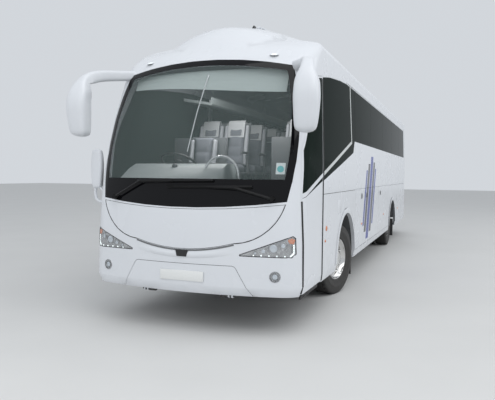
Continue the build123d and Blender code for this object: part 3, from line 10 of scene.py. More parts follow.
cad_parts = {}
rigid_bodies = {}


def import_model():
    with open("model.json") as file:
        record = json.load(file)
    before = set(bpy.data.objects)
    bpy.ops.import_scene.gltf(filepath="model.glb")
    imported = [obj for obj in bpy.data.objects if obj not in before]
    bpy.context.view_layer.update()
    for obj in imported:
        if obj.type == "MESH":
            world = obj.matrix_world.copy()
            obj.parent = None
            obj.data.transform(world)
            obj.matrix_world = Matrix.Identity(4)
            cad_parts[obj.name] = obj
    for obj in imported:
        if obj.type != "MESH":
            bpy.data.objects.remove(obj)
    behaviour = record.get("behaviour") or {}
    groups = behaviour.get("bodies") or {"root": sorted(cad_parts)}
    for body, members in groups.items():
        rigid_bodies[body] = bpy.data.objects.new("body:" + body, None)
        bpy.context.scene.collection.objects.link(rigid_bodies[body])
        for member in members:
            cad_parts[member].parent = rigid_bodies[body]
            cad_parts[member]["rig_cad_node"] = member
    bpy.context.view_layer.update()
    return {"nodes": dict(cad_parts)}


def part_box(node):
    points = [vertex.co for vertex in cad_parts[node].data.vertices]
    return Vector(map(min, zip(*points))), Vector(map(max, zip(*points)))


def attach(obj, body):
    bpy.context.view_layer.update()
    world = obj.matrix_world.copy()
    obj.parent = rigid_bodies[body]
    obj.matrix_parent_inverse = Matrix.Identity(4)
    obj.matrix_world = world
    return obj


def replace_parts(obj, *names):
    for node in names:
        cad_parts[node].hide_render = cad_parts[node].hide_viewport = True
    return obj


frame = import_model()
nodes = frame["nodes"]
NOSE_X = 6.055                 # x of the bumper face; stations are metres behind it


def at(station):
    return NOSE_X - station


# Camera, lamps and sky
# The camera stands ahead of the left front corner, a little over a person's height, and looks
# along the left side. Broad soft lamps and a pale world stand in for an overcast sky.
CAMERA_AT = Vector((at(-5.262), 2.764, 1.734))
CAMERA_YAW, CAMERA_PITCH, CAMERA_ROLL = 200.8555, -2.7067, 0.511
CAMERA_LENS = 39.84

yaw, pitch, roll = (math.radians(a) for a in (CAMERA_YAW, CAMERA_PITCH, CAMERA_ROLL))
ahead = Vector((math.cos(yaw) * math.cos(pitch), math.sin(yaw) * math.cos(pitch), math.sin(pitch)))
right = ahead.cross(Vector((0, 0, 1))).normalized()
upward = right.cross(ahead)
cam_right = math.cos(roll) * right + math.sin(roll) * upward
cam_up = -math.sin(roll) * right + math.cos(roll) * upward
bpy.ops.object.camera_add()
camera = bpy.context.object
camera.data.lens = CAMERA_LENS
camera.data.clip_end = 200
camera.matrix_world = Matrix.Translation(CAMERA_AT) @ Matrix(
    (cam_right, cam_up, -ahead)).transposed().to_4x4()
bpy.context.scene.camera = camera
bpy.context.scene.view_settings.view_transform = "Standard"


def area_lamp(name, place, target, size, watts):
    bpy.ops.object.light_add(type="AREA", location=place)
    lamp = bpy.context.object
    lamp.name = name
    lamp.data.size = size
    lamp.data.energy = watts
    lamp.rotation_mode = "QUATERNION"
    lamp.rotation_quaternion = (Vector(target) - Vector(place)).to_track_quat("-Z", "Y")
    return lamp


area_lamp("sky_lamp", (9, 7, 14), (3, 0, 1.5), 14, 1000)
area_lamp("front_lamp", (19, -4, 9), (4, 0, 1.5), 12, 520).visible_glossy = False
area_lamp("side_lamp", (-4, 16, 9), (-1, 0, 1.5), 12, 560)
area_lamp("cabin_lamp", (4.45, 0, 3.1), (4.0, 0, 1.2), 1.2, 45)

world = bpy.data.worlds.new("pale_sky")
bpy.context.scene.world = world
world.use_nodes = True
sky = world.node_tree.nodes["Background"]
sky.inputs["Color"].default_value = (0.86, 0.9, 0.95, 1)
sky.inputs["Strength"].default_value = 0.75

# Chassis
# Welded steel rails, two beam axles and the steering gear, sprayed black with dust on top; the
# engine is cast iron. All of it is bolted together under the floor, and the solids show as made.


def surface(name, tone, second, scale, rough=(0.35, 0.5), bump=0.0, **constants):
    """Material of two tones mixed by fine noise, with uneven gloss; constants go on the shader."""
    made = bpy.data.materials.new(name)
    made.use_nodes = True
    tree = made.node_tree
    shader = tree.nodes["Principled BSDF"]
    place = tree.nodes.new("ShaderNodeTexCoord")
    grain = tree.nodes.new("ShaderNodeTexNoise")
    grain.inputs["Scale"].default_value = scale
    grain.inputs["Detail"].default_value = 5
    tree.links.new(place.outputs["Object"], grain.inputs["Vector"])
    blend = tree.nodes.new("ShaderNodeMix")
    blend.data_type = "RGBA"
    blend.name = "tones"
    blend.inputs[6].default_value = (*tone, 1)
    blend.inputs[7].default_value = (*second, 1)
    tree.links.new(grain.outputs["Fac"], blend.inputs[0])
    tree.links.new(blend.outputs[2], shader.inputs["Base Color"])
    gloss = tree.nodes.new("ShaderNodeMapRange")
    gloss.inputs["From Min"].default_value, gloss.inputs["From Max"].default_value = 0.3, 0.7
    gloss.inputs["To Min"].default_value, gloss.inputs["To Max"].default_value = rough
    tree.links.new(grain.outputs["Fac"], gloss.inputs["Value"])
    tree.links.new(gloss.outputs["Result"], shader.inputs["Roughness"])
    if bump:
        relief = tree.nodes.new("ShaderNodeBump")
        relief.inputs["Strength"].default_value = 0.5
        relief.inputs["Distance"].default_value = bump
        fine = tree.nodes.new("ShaderNodeTexNoise")
        fine.inputs["Scale"].default_value = scale * 6
        tree.links.new(place.outputs["Object"], fine.inputs["Vector"])
        tree.links.new(fine.outputs["Fac"], relief.inputs["Height"])
        tree.links.new(relief.outputs["Normal"], shader.inputs["Normal"])
    for socket, value in constants.items():
        shader.inputs[socket.replace("_", " ")].default_value = value
    return made


def dress(material, *names):
    """Gives CAD nodes their finish."""
    for name in names:
        mesh = nodes[name].data
        mesh.materials.clear()
        mesh.materials.append(material)


chassis_black = surface("chassis_black", (0.025, 0.025, 0.027), (0.07, 0.065, 0.06), 9, (0.45, 0.7), 0.001)
cast_iron = surface("cast_iron", (0.1, 0.1, 0.1), (0.2, 0.19, 0.18), 14, (0.5, 0.75), 0.002, Metallic=0.6)
grey_lining = surface("grey_lining", (0.09, 0.095, 0.1), (0.14, 0.145, 0.15), 6, (0.6, 0.8), 0.001)
dress(chassis_black, "underframe_front", "underframe_middle", "underframe_rear", "front_brackets",
      "front_axle", "rear_axle", "knuckle_left", "knuckle_right", "track_rod", "lid_arms", "door_arms")
dress(cast_iron, "engine")
dress(grey_lining, "wheel_houses", "luggage_bay")

# Body shell
# Pressed and moulded panels bonded to a steel frame, sprayed cool white and lacquered, lined inside
# with grey board. Slanted bars of blue and dark grey film lie on both sides behind the front wheels.
BODY_WHITE, WHITE_SHADE, LINING_GREY = (0.70, 0.72, 0.75), (0.685, 0.705, 0.735), (0.16, 0.17, 0.18)
BAR_BLUE, BAR_GREY = (0.012, 0.035, 0.30), (0.045, 0.047, 0.052)
# The black of the lid's louvre slots and hand hole is painted shade, standing for the shade inside them
LID_SKIN_X, SLOT_SHADE_BLACK = -6.09, (0.012, 0.012, 0.013)
SLOT_WING, SLOT_BANK = (0.52, 0.30), (1.22, 0.215)      # middle and half size, across and in height
SLOT_PITCH, SLOT_SHARE = 0.048, 0.42
HAND_HOLE_HALF, HAND_HOLE_Z = 0.09, (0.74, 0.018)
BAR_SLANT, BAR_MIDDLE_Z = 0.38, 1.34
BARS = (
    # station of the middle, half width, half height, colour
    (4.44, 0.070, 0.48, BAR_BLUE),
    (4.67, 0.110, 0.60, BAR_GREY),
    (4.97, 0.140, 0.74, BAR_BLUE),
    (5.27, 0.110, 0.64, BAR_GREY),
    (5.50, 0.070, 0.52, BAR_BLUE),
)
PANELS = {
    "front_mask": "body", "roof_front": "body", "roof": "body", "side_left": "body",
    "side_right": "body", "skirt_left": "body", "skirt_right": "body", "rear_panel": "body",
    "front_lid": "front_lid", "bumper_centre": "bumper_centre", "entrance_door": "entrance_door",
    "rear_lid": "rear_lid", "roof_hatch_front": "roof_hatch_front", "roof_hatch_rear": "roof_hatch_rear",
}
PANELS.update({f"bay_door_{side}_{number}": f"bay_door_{side}_{number}"
               for side in ("left", "right") for number in (1, 2, 3)})
INSIDE_OF = (0, 0, 2.0)        # panels that face this point are lined
NOSE_HALF, NOSE_LENGTH = 1.279, 2.1
TAPER_FROM_Z, NOSE_TAPER = 1.9, 0.0279
PANEL_REACH, SCREEN_REACH = 0.009, 0.005       # how far off the smooth form still gives its shading
NOSE_SECTIONS = (
    # height, set-back of the middle, radius of the front and of the corner, in plan
    (0.540, 0.000, 4.5, 0.24), (1.000, 0.008, 4.5, 0.25), (1.450, 0.035, 4.0, 0.26),
    (2.100, 0.160, 3.4, 0.27), (2.700, 0.375, 3.2, 0.29), (3.080, 0.590, 3.1, 0.30),
    (3.270, 0.870, 3.1, 0.30), (3.470, 1.400, 3.1, 0.30),
)
NOSE_PANELS = ("front_mask", "front_lid", "bumper_centre", "roof_front", "entrance_door", "side_right",
               "skirt_right")


def reckon(tree, operation, *values):
    """Math node fed by numbers and by other nodes; gives its output."""
    made = tree.nodes.new("ShaderNodeMath")
    made.operation = operation
    for socket, value in zip(made.inputs, values):
        if isinstance(value, (int, float)):
            socket.default_value = value
        else:
            tree.links.new(value, socket)
    return made.outputs[0]


def recolour(tree, factor, colour):
    """Lays another colour over a material's colour where the factor is 1."""
    shader = tree.nodes["Principled BSDF"]
    under = shader.inputs["Base Color"].links[0].from_socket
    made = tree.nodes.new("ShaderNodeMix")
    made.data_type = "RGBA"
    made.inputs[7].default_value = (*colour, 1)
    tree.links.new(factor, made.inputs[0])
    tree.links.new(under, made.inputs[6])
    tree.links.new(made.outputs[2], shader.inputs["Base Color"])


def placed(tree):
    """Object coordinates of a material: the node, and its x, y and z."""
    place = tree.nodes["Texture Coordinate"]
    parts = tree.nodes.new("ShaderNodeSeparateXYZ")
    tree.links.new(place.outputs["Object"], parts.inputs[0])
    return place, parts.outputs[0], parts.outputs[1], parts.outputs[2]


def nose_line(z):
    """Set-back, front radius and corner radius of the nose at a height, on smooth curves."""
    rows = NOSE_SECTIONS
    i = max(j for j in range(len(rows) - 1) if rows[j][0] <= z or j == 0)
    step = rows[i + 1][0] - rows[i][0]
    t = (z - rows[i][0]) / step

    def slope(k, column):
        near = [(a, b) for a, b in zip(rows, rows[1:]) if rows[k] in (a, b)]
        return sum((b[column] - a[column]) / (b[0] - a[0]) for a, b in near) / len(near)

    made = []
    for column in (1, 2, 3):
        a, b = rows[i][column], rows[i + 1][column]
        bend = (1 - t) * slope(i, column) - t * slope(i + 1, column)
        made.append(a + (b - a) * t * t * (3 - 2 * t) + step * t * (1 - t) * bend)
    return made


def nose_place(u, v):
    """Point of the smooth nose: u from one side to the other, v from the crease to the roof."""
    z = NOSE_SECTIONS[0][0] + (NOSE_SECTIONS[-1][0] - NOSE_SECTIONS[0][0]) * v
    setback, radius, corner = nose_line(z)
    half = NOSE_HALF - max(0.0, z - TAPER_FROM_Z) * NOSE_TAPER
    side = half - corner
    turn = math.asin(side / (radius - corner))
    angle = (2 * u - 1) * math.pi / 2
    if abs(angle) > math.pi / 2 - 1e-6:
        return Vector((at(NOSE_LENGTH), math.copysign(half, angle), z))
    share = abs(angle) / (math.pi / 2)
    size = turn * share * 2 if share < 0.5 else turn + (math.pi / 2 - turn) * (share - 0.5) * 2
    angle = math.copysign(size, angle)
    if size > turn:
        reach = (radius - corner) * math.cos(turn)
        station = setback + radius - reach - corner * math.cos(angle)
        return Vector((at(station), math.copysign(side, angle) + corner * math.sin(angle), z))
    return Vector((at(setback + radius - radius * math.cos(angle)), radius * math.sin(angle), z))


def smooth_nose():
    """Finely drawn nose, from which the front panels take their shading."""
    clear_selection()
    bpy.ops.mesh.primitive_grid_add(x_subdivisions=96, y_subdivisions=80, size=1)
    made = bpy.context.object
    made.name = "nose_form"
    for point in made.data.vertices:
        point.co = nose_place(point.co.x + 0.5, point.co.y + 0.5)
    bpy.ops.object.shade_smooth()
    if made.data.polygons[len(made.data.polygons) // 2].normal.x < 0:
        made.data.flip_normals()
    return made


def clear_selection():
    if bpy.context.object and bpy.context.object.mode == "EDIT":
        bpy.ops.object.mode_set(mode="OBJECT")
    bpy.ops.object.select_all(action="DESELECT")


def only(piece):
    """Selects one piece alone and makes it the active one."""
    clear_selection()
    piece.select_set(True)
    bpy.context.view_layer.objects.active = piece
    return piece


def altered(piece, kind, **settings):
    """Gives a piece a modifier with these settings and applies it."""
    only(piece)
    change = piece.modifiers.new("change", kind)
    for setting, value in settings.items():
        setattr(change, setting, value)
    bpy.ops.object.modifier_apply(modifier="change")
    return piece


def twin_of(piece, name):
    """Copy of a piece with a mesh of its own."""
    twin = piece.copy()
    twin.data = piece.data.copy()
    twin.name = twin.data.name = name
    bpy.context.scene.collection.objects.link(twin)
    return only(twin)


def shaded_as(piece, form, reach=PANEL_REACH):
    """Outer faces of a piece take the shading of the smooth form under them."""
    return altered(piece, "DATA_TRANSFER", object=form, use_loop_data=True,
                   data_types_loops={"CUSTOM_NORMAL"}, loop_mapping="POLYINTERP_NEAREST",
                   use_max_distance=True, max_distance=reach)


def welded(node, body, material, slot, angle=30):
    """Welded and smoothly shaded copy of a CAD piece, which stands for it."""
    twin = twin_of(nodes[node], f"{node}_finished")
    del twin["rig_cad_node"]
    twin.parent = None
    bpy.ops.object.mode_set(mode="EDIT")
    bpy.ops.mesh.select_all(action="SELECT")
    bpy.ops.mesh.remove_doubles(threshold=2e-5)
    bpy.ops.object.mode_set(mode="OBJECT")
    finish_piece(twin, body, material, slot, angle)
    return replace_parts(twin, node)


def finish_piece(piece, body, material, slot, angle=35):
    """Smooths a piece, gives it its finish and its body."""
    only(piece)
    bpy.ops.object.shade_smooth_by_angle(angle=math.radians(angle))
    piece.data.materials.clear()
    piece.data.materials.append(material)
    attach(piece, body)
    return piece


body_white = surface("body_white", BODY_WHITE, WHITE_SHADE, 1.5, (0.22, 0.3), 0.0,
                     Coat_Weight=0.15, Coat_Roughness=0.08, IOR=1.3)
paint = body_white.node_tree
place, x, y, z = placed(paint)
slanted = reckon(paint, "MULTIPLY_ADD", z, BAR_SLANT, x)
for station, half_width, half_height, colour in BARS:
    middle = at(station) + BAR_SLANT * BAR_MIDDLE_Z
    within = reckon(paint, "COMPARE", slanted, middle, half_width)
    tall = reckon(paint, "COMPARE", z, BAR_MIDDLE_Z, half_height)
    recolour(paint, reckon(paint, "MULTIPLY", within, tall), colour)
# Louvre slots in two banks and a hand hole in the engine lid at the rear are painted shade: flush black where
# the shade inside their openings would be
at_rear = reckon(paint, "LESS_THAN", x, LID_SKIN_X)
wing = reckon(paint, "COMPARE", reckon(paint, "ABSOLUTE", y), *SLOT_WING)
bank = reckon(paint, "MULTIPLY", wing, reckon(paint, "COMPARE", z, *SLOT_BANK))
rows = reckon(paint, "MULTIPLY", z, 1 / SLOT_PITCH)
slot = reckon(paint, "LESS_THAN", reckon(paint, "FRACT", rows), SLOT_SHARE)
hand = reckon(paint, "COMPARE", y, 0, HAND_HOLE_HALF)
for one, other in ((bank, slot), (hand, reckon(paint, "COMPARE", z, *HAND_HOLE_Z))):
    opening_shade = reckon(paint, "MULTIPLY", reckon(paint, "MULTIPLY", one, other), at_rear)
    # paints the shade inside the slots and the hand hole as flat black
    recolour(paint, opening_shade, SLOT_SHADE_BLACK)
outward = paint.nodes.new("ShaderNodeVectorMath")
outward.operation = "SUBTRACT"
outward.inputs[1].default_value = INSIDE_OF
paint.links.new(place.outputs["Object"], outward.inputs[0])
facing = paint.nodes.new("ShaderNodeVectorMath")
facing.operation = "DOT_PRODUCT"
paint.links.new(outward.outputs[0], facing.inputs[0])
turned = paint.nodes.new("ShaderNodeNewGeometry")
paint.links.new(turned.outputs["True Normal"], facing.inputs[1])
recolour(paint, reckon(paint, "LESS_THAN", facing.outputs["Value"], 0.0), LINING_GREY)
nose_form = smooth_nose()
for node, body in PANELS.items():
    panel = altered(welded(node, body, body_white, "body_paint"), "WEIGHTED_NORMAL", keep_sharp=True)
    if node in NOSE_PANELS:
        shaded_as(panel, nose_form)
trim_silver = surface("trim_silver", (0.55, 0.57, 0.56), (0.62, 0.64, 0.63), 20, (0.3, 0.4), 0.0)
dress(trim_silver, "rail_trim")

# Glazing
# Bonded panes: a clear laminated windscreen with a printed black border and foot, and dark tinted
# panes at the sides and rear. All are set flush in the shell.
SCREEN_ARCS = (
    # three points of the lower edge, the side and the upper edge, as (side, height)
    ((-1.123, 1.447), (0, 1.370), (1.123, 1.447)),
    ((1.123, 1.447), (1.188, 2.1), (1.044, 2.95)),
    ((-1.044, 2.95), (0, 3.05), (1.044, 2.95)),
)
FRIT_WIDE, FRIT_FOOT_Z = 0.075, 1.68
GLASS_CLEAR, FRIT_BLACK = 0.12, (0.004, 0.004, 0.005)


def circle_through(a, b, c):
    """Centre and radius of the circle through three (y, z) points."""
    (ax, ay), (bx, by), (cx, cy) = a, b, c
    d = 2 * (ax * (by - cy) + bx * (cy - ay) + cx * (ay - by))
    sums = [px * px + py * py for px, py in (a, b, c)]
    ux = (sums[0] * (by - cy) + sums[1] * (cy - ay) + sums[2] * (ay - by)) / d
    uy = (sums[0] * (cx - bx) + sums[1] * (ax - cx) + sums[2] * (bx - ax)) / d
    return (ux, uy), math.hypot(ax - ux, ay - uy)


screen_clear = surface("screen_clear", (0.24, 0.30, 0.295), (0.28, 0.34, 0.335), 0.7, (0.02, 0.05), IOR=1.3)
glass = screen_clear.node_tree
place, x, y, z = placed(glass)
across = glass.nodes.new("ShaderNodeCombineXYZ")
glass.links.new(reckon(glass, "ABSOLUTE", y), across.inputs[1])
glass.links.new(z, across.inputs[2])
edge = None
for arc in SCREEN_ARCS:
    (middle_y, middle_z), radius = circle_through(*arc)
    reach = glass.nodes.new("ShaderNodeVectorMath")
    reach.operation = "DISTANCE"
    reach.inputs[1].default_value = (0, middle_y, middle_z)
    glass.links.new(across.outputs[0], reach.inputs[0])
    inside = reckon(glass, "SUBTRACT", radius, reach.outputs["Value"])
    edge = inside if edge is None else reckon(glass, "MINIMUM", edge, inside)
frit = reckon(glass, "MAXIMUM", reckon(glass, "LESS_THAN", edge, FRIT_WIDE),
              reckon(glass, "LESS_THAN", z, FRIT_FOOT_Z))
recolour(glass, frit, FRIT_BLACK)
alpha = reckon(glass, "MULTIPLY_ADD", frit, 1 - GLASS_CLEAR, GLASS_CLEAR)
glass.links.new(alpha, glass.nodes["Principled BSDF"].inputs["Alpha"])
shaded_as(welded("windscreen", "body", screen_clear, "screen_glass"), nose_form, SCREEN_REACH)
pane_dark = surface("pane_dark", (0.006, 0.010, 0.009), (0.016, 0.024, 0.020), 0.6, (0.02, 0.05), 0.0,
                    Alpha=0.97, IOR=1.03)
welded("saloon_glass", "body", pane_dark, "side_glass")
shaded_as(welded("door_glass", "entrance_door", pane_dark, "side_glass"), nose_form)
bpy.data.objects.remove(nose_form)

# Tail lamps, mirror glass, wipers and cabin
# Red moulded lenses, silvered glass, black painted wiper arms, vinyl flooring, grained grey plastic
# and dark seat cloth go on the solids here. Later sections put fuller pieces over some of them.
lens_red = surface("lens_red", (0.4, 0.01, 0.01), (0.5, 0.02, 0.02), 40, (0.05, 0.1))
dress(lens_red, "tail_lamps")
mirror_silver = surface("mirror_silver", (0.8, 0.82, 0.84), (0.82, 0.84, 0.86), 3, (0.02, 0.03), Metallic=1.0)
dress(mirror_silver, "mirror_glass")
wiper_black = surface("wiper_black", (0.004, 0.004, 0.005), (0.010, 0.010, 0.010), 40, (0.4, 0.55), IOR=1.3)
dress(wiper_black, "wipers")
floor_vinyl = surface("floor_vinyl", (0.07, 0.08, 0.09), (0.1, 0.11, 0.12), 60, (0.5, 0.6), 0.0005)
dress(floor_vinyl, "saloon_floor", "entrance_steps")
cab_grey = surface("cab_grey", (0.20, 0.225, 0.225), (0.25, 0.275, 0.275), 50, (0.5, 0.65), 0.0005)
dress(cab_grey, "dashboard", "steering_wheel", "luggage_racks")
seat_cloth = surface("seat_cloth", (0.10, 0.105, 0.12), (0.16, 0.17, 0.19), 80, (0.8, 0.95), 0.001)
dress(seat_cloth, "passenger_seats", "driver_seat")

# Wheels and tyres
# Radial tyres with four grooves and notched shoulders on polished steel discs. Chrome rings cover
# the hubs and the nuts stand round them. The rear wheels are twins, bolted face to face.
FRONT_LEAN = Vector((0.23345, 0.97237, 0))      # the left front wheel's outward axis
OUT_LEFT, OUT_RIGHT = Vector((0, 1, 0)), Vector((0, -1, 0))
AXLE_Z, REAR_X, TWIN_OUTER, TWIN_INNER = 0.511, -2.745, 1.0475, 0.7125
WHEEL_PLACES = (
    # name, body, replaced tyre node, centre of the wheel, outward axis
    ("front_left", "wheel_front_left", "tyre_front_left", (3.38578, 1.04149, AXLE_Z), FRONT_LEAN),
    ("front_right", "wheel_front_right", "tyre_front_right", (3.28422, -1.04149, AXLE_Z), -FRONT_LEAN),
    ("rear_left_outer", "wheels_rear_left", "tyres_rear_left", (REAR_X, TWIN_OUTER, AXLE_Z), OUT_LEFT),
    ("rear_left_inner", "wheels_rear_left", "", (REAR_X, TWIN_INNER, AXLE_Z), OUT_LEFT),
    ("rear_right_outer", "wheels_rear_right", "tyres_rear_right", (REAR_X, -TWIN_OUTER, AXLE_Z), OUT_RIGHT),
    ("rear_right_inner", "wheels_rear_right", "", (REAR_X, -TWIN_INNER, AXLE_Z), OUT_RIGHT),
)
TYRE_R, BEAD_R, BEAD_HALF = 0.511, 0.286, 0.112
GROOVE_WIDE, GROOVE_DEEP, NOTCH_DEEP = 0.010, 0.012, 0.007
SHOULDER_R, SHOULDER_Y = TYRE_R - 0.009, 0.084          # notches lie outside both
NUTS, NUT_CIRCLE, NUT_R, NUT_LONG, NUT_OUT = 10, 0.168, 0.0175, 0.034, 0.094
GROOVES = (-0.078, -0.027, 0.027, 0.078)
TYRE_STEPS = 108


def named(name):
    """The object that was just made, under a name of its own."""
    made = bpy.context.object
    made.name = made.data.name = name
    return made


def drawn_line(name, points):
    """One point, extruded along a line of points. It stays in edit mode."""
    clear_selection()
    bpy.ops.mesh.primitive_plane_add(size=0.01)
    made = named(name)
    bpy.ops.object.mode_set(mode="EDIT")
    bpy.ops.mesh.select_mode(type="VERT")
    bpy.ops.mesh.select_all(action="SELECT")
    bpy.ops.mesh.merge(type="CENTER")
    bpy.ops.transform.translate(value=points[0])
    for last, point in zip(points, points[1:]):
        step = [b - a for a, b in zip(last, point)]
        bpy.ops.mesh.extrude_region_move(TRANSFORM_OT_translate={"value": step})
    return made


def lathe(name, profile, steps, closed=False):
    """Profile of (radius, y) points, spun about Y at the origin."""
    made = drawn_line(name, [(r, y, 0) for r, y in [*profile, *(profile[:1] if closed else [])]])
    bpy.ops.mesh.select_all(action="SELECT")
    bpy.ops.mesh.spin(steps=steps, angle=2 * math.pi, center=(0, 0, 0), axis=(0, 1, 0))
    bpy.ops.mesh.select_all(action="SELECT")
    bpy.ops.mesh.remove_doubles(threshold=1e-5)
    bpy.ops.mesh.normals_make_consistent(inside=False)
    bpy.ops.object.mode_set(mode="OBJECT")
    return made


def pick_faces(piece, test):
    """Selects the faces whose centre passes the test, and stays in edit mode."""
    bpy.context.view_layer.objects.active = piece
    bpy.ops.object.mode_set(mode="EDIT")
    bpy.ops.mesh.select_mode(type="FACE")
    bpy.ops.mesh.select_all(action="DESELECT")
    mesh = bmesh.from_edit_mesh(piece.data)
    for face in mesh.faces:
        face.select_set(test(face.calc_center_median()))
    bmesh.update_edit_mesh(piece.data)


def copied(piece, name, matrix):
    """Copy of a piece, put in place within its mesh."""
    twin = twin_of(piece, name)
    twin.matrix_world = matrix
    bpy.ops.object.transform_apply(location=True, rotation=True, scale=True)
    return twin


def fuse(name, pieces):
    """Several meshes as one piece."""
    clear_selection()
    for piece in pieces:
        piece.select_set(True)
    bpy.context.view_layer.objects.active = pieces[0]
    bpy.ops.object.join()
    return named(name)


def wheel_frame(centre, outward):
    """Matrix that stands a piece drawn about +Y on a wheel's centre, facing outward."""
    side = outward.cross(Vector((0, 0, 1)))
    turn = Matrix((side, outward, side.cross(outward))).transposed().to_4x4()
    return Matrix.Translation(centre) @ turn


tread = []
for y in GROOVES:
    tread += [(TYRE_R, y - GROOVE_WIDE / 2), (TYRE_R - GROOVE_DEEP, y - GROOVE_WIDE / 3),
              (TYRE_R - GROOVE_DEEP, y + GROOVE_WIDE / 3), (TYRE_R, y + GROOVE_WIDE / 2)]
half = [(BEAD_R + 0.001, BEAD_HALF), (0.298, 0.120), (0.315, 0.126), (0.318, 0.129), (0.325, 0.129),
        (0.330, 0.128), (0.365, 0.1395), (0.400, 0.1465), (0.404, 0.1475), (0.412, 0.1475),
        (0.416, 0.146), (0.450, 0.143), (0.475, 0.138), (0.490, 0.134), (0.503, 0.126), (0.509, 0.116)]
profile = [(r, -y) for r, y in half] + tread + [(r, y) for r, y in reversed(half)]
tyre = lathe("tyre", profile, TYRE_STEPS, closed=True)


def on_notch(centre):
    """Every third shoulder face and the tread's outer bands take a notch."""
    step = round(math.atan2(centre.z, centre.x) / (2 * math.pi) * TYRE_STEPS - 0.5)
    outer = math.hypot(centre.x, centre.z) > SHOULDER_R and abs(centre.y) > SHOULDER_Y
    return outer and step % 3 == 0


pick_faces(tyre, on_notch)
bpy.ops.mesh.extrude_region_shrink_fatten(TRANSFORM_OT_shrink_fatten={"value": -NOTCH_DEEP})
bpy.ops.object.mode_set(mode="OBJECT")
tyre_rubber = surface("tyre_rubber", (0.02, 0.02, 0.021), (0.05, 0.047, 0.043), 12, (0.6, 0.8), 0.001)

cap_profile = [(0.104, 0.100), (0.112, 0.104), (0.116, 0.112), (0.110, 0.119), (0.098, 0.120),
               (0.090, 0.117), (0.086, 0.118), (0.060, 0.123), (0.030, 0.126), (0.0002, 0.127)]
hub_cap = lathe("hub_cap", cap_profile, 48)
nut_ring = []
clear_selection()
for number in range(NUTS):
    turn = math.radians(360 / NUTS * number)
    spot = (NUT_CIRCLE * math.cos(turn), NUT_OUT, NUT_CIRCLE * math.sin(turn))
    bpy.ops.mesh.primitive_cylinder_add(vertices=6, radius=NUT_R, depth=NUT_LONG, location=spot,
                                        rotation=(math.pi / 2, 0, 0))
    nut_ring.append(bpy.context.object)
nuts = fuse("nuts", nut_ring)
bpy.ops.object.transform_apply(location=True, rotation=True, scale=True)
altered(nuts, "BEVEL", width=0.003, segments=2)
chrome = surface("chrome", (0.75, 0.75, 0.75), (0.85, 0.85, 0.84), 20, (0.05, 0.12), 0.0, Metallic=1.0)

REAR_CAP_SHIFT, REAR_NUT_SHIFT = -0.2075, -0.231      # the rear hubs and discs lie further in
for name, body, node, centre, outward in WHEEL_PLACES:
    stand = wheel_frame(centre, outward)
    piece = finish_piece(copied(tyre, f"tyre_{name}_rubber", stand), body, tyre_rubber, "tyre", 30)
    if node:
        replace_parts(piece, node)
    if "inner" in name:
        continue
    for draft, label, shift, angle in ((hub_cap, "hub_cap", REAR_CAP_SHIFT, 35),
                                       (nuts, "wheel_nuts", REAR_NUT_SHIFT, 20)):
        spot = stand @ Matrix.Translation((0, shift if "rear" in name else 0, 0))
        finish_piece(copied(draft, f"{label}_{name}", spot), body, chrome, "rim_metal", angle)
for spare in (tyre, hub_cap, nuts):
    bpy.data.objects.remove(spare)
rim_steel = surface("rim_steel", (0.6, 0.6, 0.6), (0.75, 0.74, 0.72), 16, (0.12, 0.25), 0.0, Metallic=1.0)
for side in ("left", "right"):
    welded(f"rim_front_{side}", f"wheel_front_{side}", rim_steel, "rim_metal")
    welded(f"rims_rear_{side}", f"wheels_rear_{side}", rim_steel, "rim_metal")

# Front fittings
# A black sensor cover on the bumper's ridge, a slot under the lid, a blank number plate screwed on,
# chrome-ringed fog lamps, and two small marker lamps in white housings above the windscreen.


def box_piece(name, low, high, edge, segments=2):
    """Rounded box between two corners."""
    clear_selection()
    low, high = Vector(low), Vector(high)
    bpy.ops.mesh.primitive_cube_add(size=1, location=(low + high) / 2)
    made = named(name)
    made.scale = high - low
    bpy.ops.object.transform_apply(location=True, rotation=True, scale=True)
    return altered(made, "BEVEL", width=edge, segments=segments)


def shaped_grid(name, across, along, place, thick=0.0):
    """Grid whose points lie where place(u, v) says, u and v from 0 to 1, with its seams welded."""
    clear_selection()
    bpy.ops.mesh.primitive_grid_add(x_subdivisions=across, y_subdivisions=along, size=1)
    made = named(name)
    for point in made.data.vertices:
        point.co = place(point.co.x + 0.5, point.co.y + 0.5)
    bpy.ops.object.mode_set(mode="EDIT")
    bpy.ops.mesh.select_all(action="SELECT")
    bpy.ops.mesh.remove_doubles(threshold=1e-5)
    bpy.ops.mesh.normals_make_consistent(inside=False)
    bpy.ops.object.mode_set(mode="OBJECT")
    return altered(made, "SOLIDIFY", thickness=thick, offset=0) if thick else made


def bead(name, points, radius, sides=6):
    """Round strip along a line of points."""
    drawn_line(name, points)
    bpy.ops.object.mode_set(mode="OBJECT")
    bpy.ops.object.convert(target="CURVE")
    curve = bpy.context.object.data
    curve.bevel_depth, curve.bevel_resolution, curve.use_fill_caps = radius, sides // 2 - 2, True
    bpy.ops.object.convert(target="MESH")
    return bpy.context.object


cad_surfaces = {}


def seen_from(origin, way, *names):
    """Nearest point of the named CAD pieces along a line, and the face's direction there, or Nones."""
    for name in names:
        if name not in cad_surfaces:
            mesh = nodes[name].data
            corners, faces = [v.co for v in mesh.vertices], [list(f.vertices) for f in mesh.polygons]
            cad_surfaces[name] = BVHTree.FromPolygons(corners, faces)
    hits = [cad_surfaces[name].ray_cast(Vector(origin), Vector(way)) for name in names]
    spots = [(place, normal) for place, normal, _, _ in hits if place]
    if not spots:
        return None, None
    return min(spots, key=lambda spot: (spot[0] - Vector(origin)).length)


def on_front(y, z, lift=0.0, names=("front_mask", "front_lid", "bumper_centre", "headlamps")):
    """Point of the front at a side and height, lifted forward."""
    place, _ = seen_from((7, y, z), (-1, 0, 0), *names)
    return place + Vector((lift, 0, 0))


